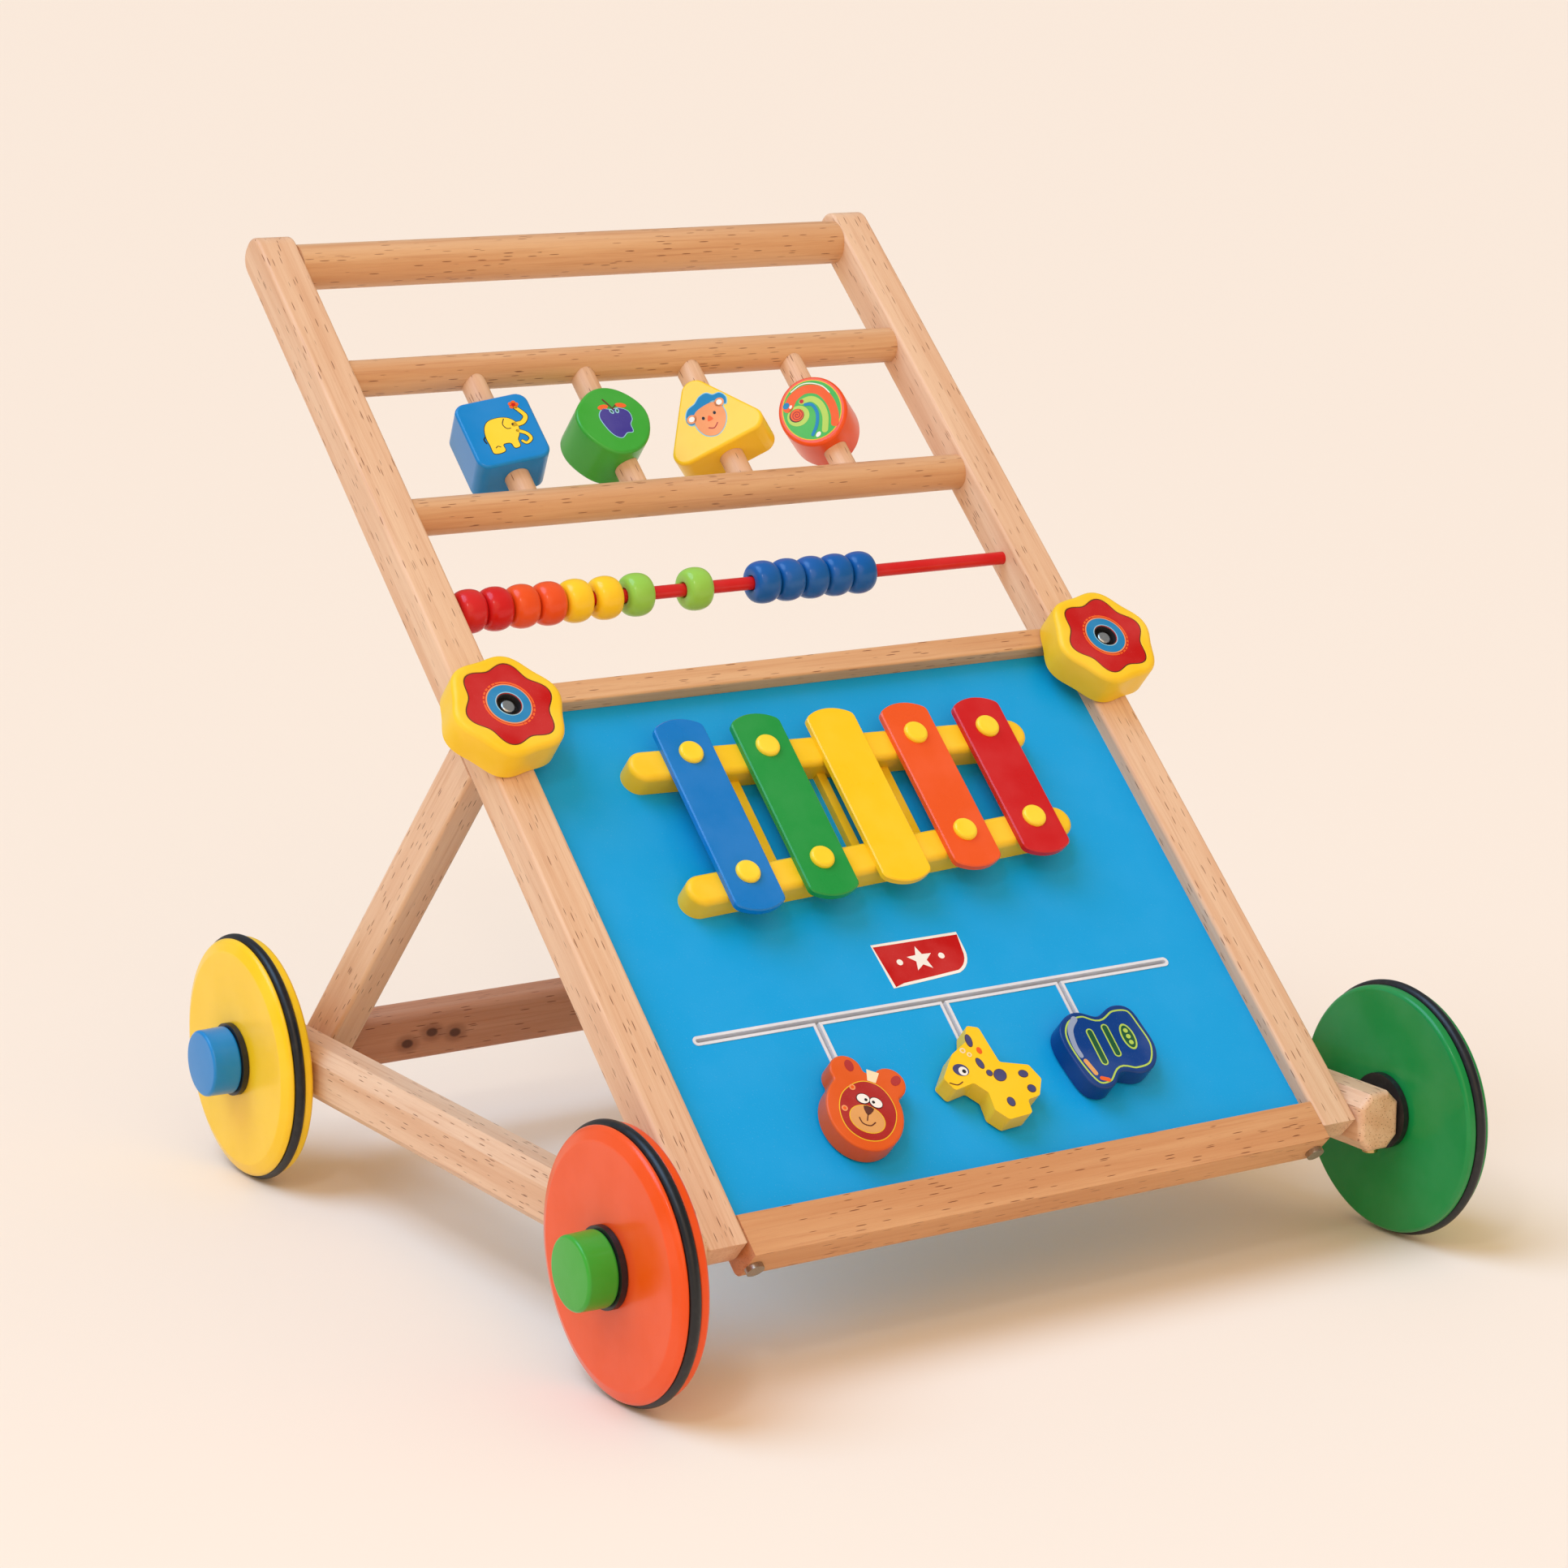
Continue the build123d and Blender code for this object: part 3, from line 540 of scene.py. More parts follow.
def beech(name, direction, shift, stain=None, knots=()):
    """Lacquered beech: soft tone bands, growth streaks and short dark rays along the grain."""
    wood = bpy.context.scene.walker_wood
    material, tree, shader = start_material(name, wood.roughness, wood.warm)
    coords = tree.nodes.new("ShaderNodeTexCoord").outputs["Object"]
    turn = grain_turn(direction)
    bands = noise(tree, scaled(tree, coords, (0.05, 1, 1), shift, turn), 95, 3, 0.6)
    streaks = noise(tree, scaled(tree, coords, (0.022, 1, 1), shift, turn), 620, 3, 0.65)
    hairs = noise(tree, scaled(tree, coords, (0.04, 1, 1), shift, turn), 2600, 2, 0.6)
    body = mixed(tree, ramp(tree, bands, 0.32, 0.72), wood.pale, wood.warm)
    body = mixed(tree, times(tree, ramp(tree, streaks, 0.47, 0.78), 0.5), body, wood.streak)
    body = mixed(tree, times(tree, ramp(tree, hairs, 0.5, 0.85), 0.3), body, wood.streak)
    radius = 0.2
    cells = (2 * radius / wood.fleck_length, 2 * radius / wood.fleck_width, 2 * radius / wood.fleck_width)
    rays = put(tree, "ShaderNodeTexVoronoi", Scale=1, Randomness=1)
    wire(tree, scaled(tree, coords, cells, shift, turn), rays.inputs["Vector"])
    inside = ramp(tree, rays.outputs["Distance"], 1.1 * radius, 0.75 * radius)
    parts = tree.nodes.new("ShaderNodeSeparateColor")
    wire(tree, rays.outputs["Color"], parts.inputs["Color"])
    present = ramp(tree, parts.outputs["Red"], 1 - wood.fleck_share, 1.001 - wood.fleck_share)
    patchy = ramp(tree, bands, 0.22, 0.5)
    flecks = times(tree, times(tree, inside, present), patchy)
    body = mixed(tree, times(tree, flecks, 0.78), body, wood.fleck)
    if stain:
        body = mixed(tree, 0.75, body, tuple(stain), "MULTIPLY")
    for knot in knots:
        body = with_knot(tree, coords, body, knot, wood.fleck)
    wire(tree, body, shader.inputs["Base Color"])
    depth = mixed(tree, flecks, streaks, (0, 0, 0))
    bumped(tree, shader, depth, 0.00025, 0.5)
    shader.inputs["Specular IOR Level"].default_value = 0.25
    shader.inputs["Coat Weight"].default_value = 0.08
    shader.inputs["Coat Roughness"].default_value = 0.32
    return material


def shaded(colour, amount):
    """Colour darkened by a negative amount or lightened by a positive one."""
    if amount < 0:
        return tuple(part * (1 + amount) for part in colour)
    return tuple(part + (1 - part) * amount for part in colour)


def coated(name, colour, roughness, coat=0.35, grain=0.0, speckle=0.0, drifting=1.0, shine=0.22):
    """Paint, plastic or ink: faint colour drift, fine skin and an optional clear coat."""
    if name in material_shelf:
        return material_shelf[name]
    material, tree, shader = start_material(name, roughness, colour)
    coords = tree.nodes.new("ShaderNodeTexCoord").outputs["Object"]
    drift = noise(tree, coords, 38, 3)
    low, high = shaded(colour, -0.07 * drifting), shaded(colour, 0.03 * drifting)
    body = mixed(tree, ramp(tree, drift, 0.35, 0.7), low, high)
    skin = noise(tree, coords, 1500, 2)
    if speckle:
        body = mixed(tree, times(tree, ramp(tree, skin, 0.62, 0.8), speckle), body, shaded(colour, 0.6))
    wire(tree, body, shader.inputs["Base Color"])
    rough = put(tree, "ShaderNodeMapRange", To_Min=roughness * 0.88, To_Max=roughness * 1.14)
    wire(tree, drift, rough.inputs["Value"])
    wire(tree, rough.outputs["Result"], shader.inputs["Roughness"])
    height = skin
    if grain:
        fibres = noise(tree, scaled(tree, coords, (1, 1, 0.06)), 900, 2)
        height = mixed(tree, grain, skin, fibres)
    bumped(tree, shader, height, 0.00006, 0.45)
    shader.inputs["Specular IOR Level"].default_value = shine
    shader.inputs["Coat Weight"].default_value = coat
    shader.inputs["Coat Roughness"].default_value = 0.14
    material_shelf[name] = material
    return material


def paint_colour(name):
    """Colour of a paint or plastic in the settings."""
    return tuple(getattr(bpy.context.scene.walker_paint, name))


def paint(name):
    """Gloss paint over wood."""
    roughness = bpy.context.scene.walker_paint.roughness
    return coated(f"paint_{name}", paint_colour(name), roughness, coat=0.3, grain=0.4, drifting=0.5)


def satin_paint(name):
    """Duller paint of the bear and the guitar."""
    return coated(f"paint_{name}", paint_colour(name), 0.36, coat=0.15, drifting=0.5)


def plastic():
    """Moulded yellow plastic with a fine skin."""
    return coated("moulded_plastic", paint_colour("plastic"), 0.4, coat=0.1, speckle=0.06)


def enamel(name):
    """Stove enamel on a sounding bar."""
    colour = paint_colour(f"bar_{name}")
    return coated(f"enamel_{name}", colour, 0.28, coat=0.35, speckle=0.03, drifting=0.5)


ink_shades = {
    "white": ((246, 244, 238), "track_grey"),
    "cream": ((244, 226, 186), "track_grey"),
    "peach": ((241, 157, 98), "paint_orange"),
    "tan": ((226, 164, 96), "paint_orange"),
    "orange": ((238, 98, 26), "paint_orange"),
    "gold": ((240, 196, 44), "paint_yellow"),
    "yellow": ((250, 212, 40), "paint_yellow"),
    "red": ((196, 14, 16), "paint_red"),
    "maroon": ((176, 40, 38), "paint_red"),
    "brown": ((96, 44, 30), "paint_red"),
    "black": ((26, 26, 30), "black_plastic"),
    "navy": ((0, 62, 140), "paint_dark_blue"),
    "purple": ((62, 54, 148), "paint_dark_blue"),
    "violet": ((72, 72, 120), "paint_dark_blue"),
    "blue": ((20, 132, 190), "paint_blue"),
    "sky": ((150, 206, 226), "track_grey"),
    "green": ((76, 186, 84), "paint_green"),
    "forest": ((30, 92, 62), "paint_green"),
    "lime": ((182, 214, 92), "paint_lime"),
    "grey": ((150, 166, 196), "track_grey"),
}


def ink(name):
    """Printing ink with a faintly speckled coat."""
    return coated(f"ink_{name}", rgb(*ink_shades[name][0]), 0.42, coat=0.08, speckle=0.06, shine=0.12)


def rubber(name, colour):
    """Matt rubber with a dusty skin."""
    material, tree, shader = start_material(name, 0.38, colour)
    coords = tree.nodes.new("ShaderNodeTexCoord").outputs["Object"]
    dust = noise(tree, coords, 220, 4)
    body = mixed(tree, ramp(tree, dust, 0.45, 0.85), colour, shaded(colour, 0.012))
    wire(tree, body, shader.inputs["Base Color"])
    bumped(tree, shader, noise(tree, coords, 2400, 2), 0.00008, 0.6)
    return material


def metal(name, setting, roughness):
    """Turned metal with fine marks."""
    colour = tuple(getattr(bpy.context.scene.walker_metal, setting))
    material, tree, shader = start_material(name, roughness, colour)
    shader.inputs["Metallic"].default_value = 1.0
    coords = tree.nodes.new("ShaderNodeTexCoord").outputs["Object"]
    marks = noise(tree, scaled(tree, coords, (1, 1, 0.1)), 3000, 3)
    body = mixed(tree, ramp(tree, marks, 0.4, 0.8), shaded(colour, 0.1), shaded(colour, -0.25))
    wire(tree, body, shader.inputs["Base Color"])
    bumped(tree, shader, marks, 0.00004, 0.5)
    return material


# Printed pictures, in millimetres, as (ink, layer, outline) ----------------------------------------


def elephant_picture():
    """Yellow elephant that holds up a flower."""
    body = smooth([
        (-9.6, 2.6), (-6.4, 5.9), (-1, 6.6), (3.4, 5.4), (6.2, 2.4), (6.6, -1.4), (5.2, -5.4), (3.6, -8),
        (3.2, -12), (0.4, -12.4), (-0.4, -9.4), (-3, -8.8), (-4.6, -9.6), (-5, -13.2), (-10.4, -13.4),
        (-10.8, -8.4), (-11, -3),
    ])
    trunk = ribbon([(5, 1), (9.4, 1.2), (12.2, 4.4), (10.8, 8.2), (9.3, 10.6)], 2.6, 1.7)
    tusk = ribbon([(5.4, -3), (9, -5.6), (10, -9), (7.2, -11), (5.4, -9.4)], 1.9, 1.2)
    tail = ribbon([(-10.2, -2), (-12.4, -4), (-12, -6.6)], 0.7)
    petals = [oval(9 + 1.5 * cos(tau * i / 5), 12.4 + 1.5 * sin(tau * i / 5), 1.1) for i in range(5)]
    shapes = [("black", 1, grown(outline, 0.35)) for outline in (body, trunk, tusk)]
    shapes += [("yellow", 2, outline) for outline in (body, trunk, tusk)]
    shapes += [("orange", 2, petal) for petal in petals]
    shapes += [
        ("black", 1, tail),
        ("red", 3, oval(9, 12.4, 1)),
        ("black", 3, ribbon([(1.2, 5.4), (-0.4, 2.4), (0.6, -0.4), (2.6, -0.8)], 0.45)),
        ("black", 3, oval(4.4, 1.4, 0.55)),
        ("black", 3, ribbon([(-8.6, -10.4), (-7.4, -9.6), (-6.2, -10.4)], 0.4)),
    ]
    return shapes


def plum_picture():
    """Purple plum with a stem and two leaves."""
    plum = smooth([
        (-10.3, 2.4), (-7, 6.8), (-2.4, 6.4), (2.4, 7), (6.4, 4.6), (6.6, 0), (4.4, -3.4), (3.8, -8),
        (0.4, -8.4), (-3.4, -11.2), (-6.8, -9.6), (-9.2, -4.8),
    ])
    return [
        ("orange", 1, oval(-6.2, 8.3, 3.1, 1.5, 12)),
        ("orange", 1, oval(4, 8.8, 3.1, 1.5, -8)),
        ("sky", 1, grown(plum, 0.45)),
        ("purple", 2, plum),
        ("brown", 3, ribbon([(-1.2, 6.4), (-2.6, 9.6), (-4.4, 13)], 0.8)),
        ("brown", 3, ribbon([(-1.4, 7), (1, 9)], 0.6)),
        ("sky", 3, oval(-2.6, 5.2, 1.1, 1.6, 20)),
        ("sky", 3, oval(0.6, 5.4, 1.1, 1.6, -20)),
        ("forest", 4, oval(-2.6, 5.2, 0.5, 0.9, 20)),
        ("forest", 4, oval(0.6, 5.4, 0.5, 0.9, -20)),
    ]


def friendly_face_picture():
    """Round peach face with blue hair and big ears."""
    hair = smooth([
        (-11.2, 5.6), (-8.6, 9.4), (-4.4, 10.6), (-0.8, 13), (3, 13.2), (5.6, 10.6), (9.2, 9.8), (11, 6),
        (9.6, 2.6), (7.6, 6.2), (3.4, 7.8), (0, 6.2), (-4, 6.8), (-7.6, 4.4), (-8.8, 0.4), (-11, 1.2),
    ])
    head = smooth([
        (-8.4, 0.6), (-6.4, 5.6), (-1, 7.2), (4.6, 6.6), (7.4, 2.4), (7.2, -3.6), (4, -8.8), (-0.8, -11.2),
        (-5.6, -9), (-8, -4.4),
    ])
    ears = (oval(-9, 3.4, 2.5), oval(7, 5, 2.5))
    shapes = [("sky", 1, grown(outline, 0.55)) for outline in (hair, head, *ears)]
    shapes += [("blue", 2, hair), ("peach", 3, head)]
    shapes += [("peach", 3, ear) for ear in ears]
    shapes += [("white", 4, oval(-9, 3.4, 1.5)), ("white", 4, oval(7, 5, 1.5))]
    shapes += [("black", 4, oval(x, 0.8, 0.75, 0.95)) for x in (-3.6, 2.6)]
    shapes += [
        ("orange", 4, smooth([(-2.2, -2), (0.8, -2), (-0.7, 1)], steps=3)),
        ("maroon", 4, ribbon([(-3.2, -5.6), (-0.8, -7), (1.8, -5.2)], 0.6)),
    ]
    return shapes


def swirl_picture():
    """Swirl of green, orange and blue bands round a small spiral."""
    disc = oval(-0.7, 0, 14.8, 17.1)
    return [
        ("gold", 1, grown(disc, 0.5)),
        ("green", 2, disc),
        ("orange", 3, ribbon(
            [(-11, 7.6), (-6, 11.6), (1, 12.4), (7, 8), (9.4, 0), (8.8, -8), (6.6, -13.2)], 5.4, 4
        )),
        ("lime", 3, ribbon([(-3.4, 7), (1.6, 5.8), (4.4, 0.6), (4, -6.8), (0.6, -14)], 3.2)),
        ("blue", 4, ribbon([(-2.4, 4.6), (0.6, 2.4), (1, -3), (-1.8, -9), (-6, -13.2)], 1.7)),
        ("lime", 3, oval(-8.2, 0.6, 5.8)),
        ("black", 4, oval(-8.8, 1.2, 3.9, 3.8)),
        ("orange", 5, oval(-8.6, 1.3, 3.5)),
        ("maroon", 6, ribbon(spiral(-8.6, 1.3, 0.4, 3, 2.1), 0.5)),
        ("blue", 4, oval(-11.4, 9.2, 1.9, 1.6, 30)),
        ("white", 5, oval(-9.6, 7.4, 1, 0.7, 40)),
        ("white", 5, ribbon([(-6, 15), (0, 16), (5, 14), (9.4, 9.4), (11.2, 4)], 0.55)),
        ("white", 5, oval(-3.4, -14.6, 1.6, 1.1, 30)),
        ("red", 5, oval(-3.4, 7.2, 1.1)),
    ]


def bear_picture():
    """Bear's face: dark red mask, tan muzzle, round eyes and ears."""
    mask = smooth([
        (-9, 10.4), (-3.4, 14.4), (3.4, 14.4), (9, 10.4), (12.8, 3.4), (12.4, -5.6), (8, -13), (0, -15.8),
        (-8, -13), (-12.6, -5.6), (-13, 3.4),
    ])
    muzzle = oval(0, -5, 8.2, 6.8)
    shapes = [
        ("gold", 1, grown(mask, 0.45)),
        ("maroon", 2, mask),
        ("cream", 2, [(-3, 21.4), (3, 21.4), (2, 15.6), (-2, 15.6)]),
        ("gold", 3, grown(muzzle, 0.4)),
        ("tan", 4, muzzle),
        ("brown", 5, smooth([(-2.5, 1.4), (2.5, 1.4), (0, -3)], steps=3)),
        ("brown", 5, ribbon([(0, -2.4), (0, -5.8)], 0.55)),
        ("brown", 5, ribbon([(-3.8, -5.6), (-1.8, -8), (1.8, -8), (3.8, -5.6)], 0.6)),
    ]
    for side in (-1, 1):
        shapes += [
            ("black", 5, oval(side * 3.1, 5, 3.3, 2.7, side * -12)),
            ("white", 6, oval(side * 3.1, 5, 3, 2.4, side * -12)),
            ("black", 7, oval(side * 1.8, 4.8, 0.75)),
            ("maroon", 2, oval(side * 11.2, 20.4, 2.1, 3, side * -25)),
        ]
    for x, y in ((-8.6, 9.4), (-11, -3)):
        shapes += [("peach", 3, oval(x, y, 1.5)), ("orange", 4, oval(x, y, 0.8))]
    return shapes


def giraffe_picture():
    """Giraffe's spots, eye and horns; the places are from the middle of its picture."""
    spots = (
        (-5.2, 18.2, 1.5, 3.2, -8), (-5.2, 6, 1.5, 2.8, 10), (-2.8, 0.4, 1.4, 1.5, 0),
        (2, -1.6, 3.3, 2.9, 30), (14, -3, 2.3, 1.8, -10), (14.6, -11, 2, 1.9, 0), (1, -15.6, 1.8, 2.3, 0),
    )
    shapes = []
    for x, y, rx, ry, turn in spots:
        shapes.append(("brown", 1, oval(x, y, rx + 0.25, ry + 0.25, turn)))
        shapes.append(("violet", 2, oval(x, y, rx, ry, turn)))
    shapes += [
        ("violet", 2, oval(-16.4, 4.4, 4, 3.1, -20)),
        ("white", 3, oval(-15.6, 3.6, 2.3)),
        ("black", 4, oval(-15.2, 3.4, 1)),
        ("cream", 2, oval(-10.8, 13.8, 1.4)),
        ("cream", 2, oval(-8.4, 11.2, 1.2)),
        ("gold", 3, oval(-10.8, 13.8, 0.7)),
        ("gold", 3, oval(-8.4, 11.2, 0.6)),
        ("orange", 2, oval(-2.4, 12.4, 1.3, 1.8)),
        ("brown", 2, ribbon([(-25, -1), (-21.6, -2.6), (-18.4, -1.6)], 0.5)),
    ]
    return shapes


def guitar_picture():
    """Guitar's lime edge line, strings and sound hole."""
    outline = smooth([
        (-23.8, 7.4), (-17.8, 16.4), (-7.8, 18.4), (0.2, 14.9), (9.2, 18.4), (19.2, 16.4), (22.2, 6.4),
        (23.2, -5.6), (17.2, -15.6), (7.2, -17.6), (-0.8, -15.6), (-8.8, -21.6), (-17.8, -20.6),
        (-22.8, -7.6),
    ])
    shapes = [
        ("lime", 1, grown(outline, -2.3)),
        ("navy", 2, grown(outline, -3.2)),
        ("grey", 3, ribbon([(-12.6, 15), (-17.4, 10), (-19.2, 2), (-18.6, -4)], 3.2, 2.4)),
        ("tan", 3, ribbon([(-17.6, -7), (-15.6, -14)], 2.3)),
        ("orange", 3, ribbon([(-13.8, -17), (-10.6, -18.4)], 2.1)),
    ]
    for x, low, high in ((-8, -9, 7), (1, -6, 8)):
        shapes.append(("lime", 3, ribbon([(x, low), (x, high)], 4)))
        shapes.append(("forest", 4, ribbon([(x, low), (x, high)], 2.6)))
    shapes += [("lime", 3, oval(11, 1.4, 3.7, 7)), ("forest", 4, oval(11, 1.4, 2.8, 6))]
    shapes += [("lime", 5, oval(11, y, 1.2)) for y in (4.6, 1.4, -1.8)]
    return shapes


def print_picture(name, picture, place, body):
    """Print a picture on a face, one piece for each ink."""
    layer_height = bpy.context.scene.walker_shapes.print_layer
    inks = sorted({shape[0] for shape in picture})
    for shade in inks:
        bm = bmesh.new()
        for _, layer, outline in (shape for shape in picture if shape[0] == shade):
            add_plate(bm, outline, -0.5 * layer_height, layer * layer_height)
        finish_piece(f"{name}_print_{shade}", bm, place, ink(shade), body)


# Operators ------------------------------------------------------------------------------------------


class WALKER_OT_woodwork(bpy.types.Operator):
    """Give every beech piece its own run of grain"""

    bl_idname = "walker.woodwork"
    bl_label = "Beech woodwork"
    grain = {
        "across": (
            "handle_bar", "upper_rung", "lower_rung", "panel_top_rail", "panel_bottom_rail", "rear_beam",
        ),
        "along": ("stile_left", "stile_right", "block_pegs"),
        "outward": ("back_leg_left", "back_leg_right"),
        "lengthways": ("side_rail_left", "side_rail_right"),
    }

    knot_places = ((31, -3), (45, 1), (58, -1))

    def knots(self, piece):
        """Centres of the knots in the front of the rear beam, in millimetres from its left end."""
        if piece != "rear_beam":
            return ()
        low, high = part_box(piece)
        middle = (low.z + high.z) / 2
        return [(low.x + x * MM, low.y, middle + z * MM) for x, z in self.knot_places]

    def execute(self, context):
        wood = context.scene.walker_wood
        number = 0
        for direction, pieces in self.grain.items():
            for piece in pieces:
                number += 1
                stain = wood.honey if direction == "across" else None
                # The brown stain on the rear beam is painted shade, darkening the beam as if it stood in shade.
                stain = {"panel_bottom_rail": wood.golden, "rear_beam": wood.brown}.get(piece, stain)
                shift = (0.37 * number, 0.11 * number, 0.19 * number)
                dress(piece, beech(f"beech_{piece}", direction, shift, stain, self.knots(piece)))
        return {"FINISHED"}


class WALKER_OT_wheels(bpy.types.Operator):
    """Turn the four painted wheels and their rubber rings"""

    bl_idname = "walker.wheels"
    bl_label = "Wheels and rings"
    bore, rim_edge, groove_play, softening, inset = 4.1, 1.4, 0.05, 0.7, 0.02

    def execute(self, context):
        shapes = context.scene.walker_shapes
        tyre_rubber = rubber("ring_rubber", tuple(context.scene.walker_paint.rubber))
        for corner, colour in corner_paint.items():
            wheel, tyre = f"wheel_{corner}", f"tyre_{corner}"
            low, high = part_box(wheel)
            tyre_low, tyre_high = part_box(tyre)
            side = 1 if low.x > 0 else -1
            place = facing_out((low + high) / 2, side)
            half = (high.x - low.x) / 2 / MM
            rim = (high.z - low.z) / 2 / MM
            ring = (tyre_high.z - tyre_low.z) / 2 / MM - self.inset
            groove = (tyre_high.x - tyre_low.x) / 2 / MM
            shoulder, drop = shapes.shoulder / MM, shapes.shoulder_drop / MM
            wall, edge = groove + self.groove_play, self.rim_edge
            floor = ring - 2 * groove
            bm = bmesh.new()
            add_turned(bm, [
                (-half, self.bore), (-half, rim - edge), (-half + edge, rim),
                (-wall, rim), (-wall, floor), (wall, floor), (wall, rim),
                (half - drop - edge, rim), (half - drop, rim - edge), (half, rim - shoulder),
                (half, self.bore),
            ], steps=128, soften=self.softening * MM, soften_angle=8)
            finish_piece(wheel + "_disc", bm, place, paint(colour), body_of[wheel], [wheel])
            bm = bmesh.new()
            circle = [
                (groove * cos(tau * i / 20), ring - groove + groove * sin(tau * i / 20)) for i in range(20)
            ]
            add_turned(bm, circle, steps=128)
            finish_piece(tyre + "_ring", bm, place, tyre_rubber, body_of[tyre], [tyre])
        return {"FINISHED"}


class WALKER_OT_axles(bpy.types.Operator):
    """Finish washers and bolts, and turn the painted hub caps"""

    bl_idname = "walker.axles"
    bl_label = "Axles and hub caps"
    cap_paint = {"hub_caps_front": ("leaf", "paint_green"), "hub_caps_rear": ("blue", "paint_blue")}
    bore, crown = 4.06, 0.35

    def execute(self, context):
        dress("axle_spacers", rubber("washer_plastic", paint_colour("washer")))
        dress("axle_bolts", metal("bolt_steel", "axle", 0.3))
        inner_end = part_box("axle_spacers")[1].x
        for node, (colour, slot) in self.cap_paint.items():
            low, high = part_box(node)
            radius = (high.z - low.z) / 2 / MM
            depth = (high.x - inner_end) / MM
            bm = bmesh.new()
            for side in (-1, 1):
                cap = bmesh.new()
                add_turned(cap, [
                    (0, self.bore), (0, radius), (depth - self.crown, radius - self.crown),
                    (depth - 0.1, radius * 0.55), (depth, 0), (depth * 0.6, 0), (depth * 0.6, self.bore),
                ], steps=72, soften=1.5 * MM, soften_angle=30, segments=4)
                spot = Vector((side * inner_end, (low.y + high.y) / 2, (low.z + high.z) / 2))
                bmesh.ops.transform(cap, matrix=facing_out(spot, side), verts=cap.verts)
                joined = bpy.data.meshes.new("cap")
                cap.to_mesh(joined)
                bm.from_mesh(joined)
                cap.free()
                bpy.data.meshes.remove(joined)
            finish_piece(node + "_turned", bm, Matrix.Identity(4), paint(colour), body_of[node], [node])
        return {"FINISHED"}


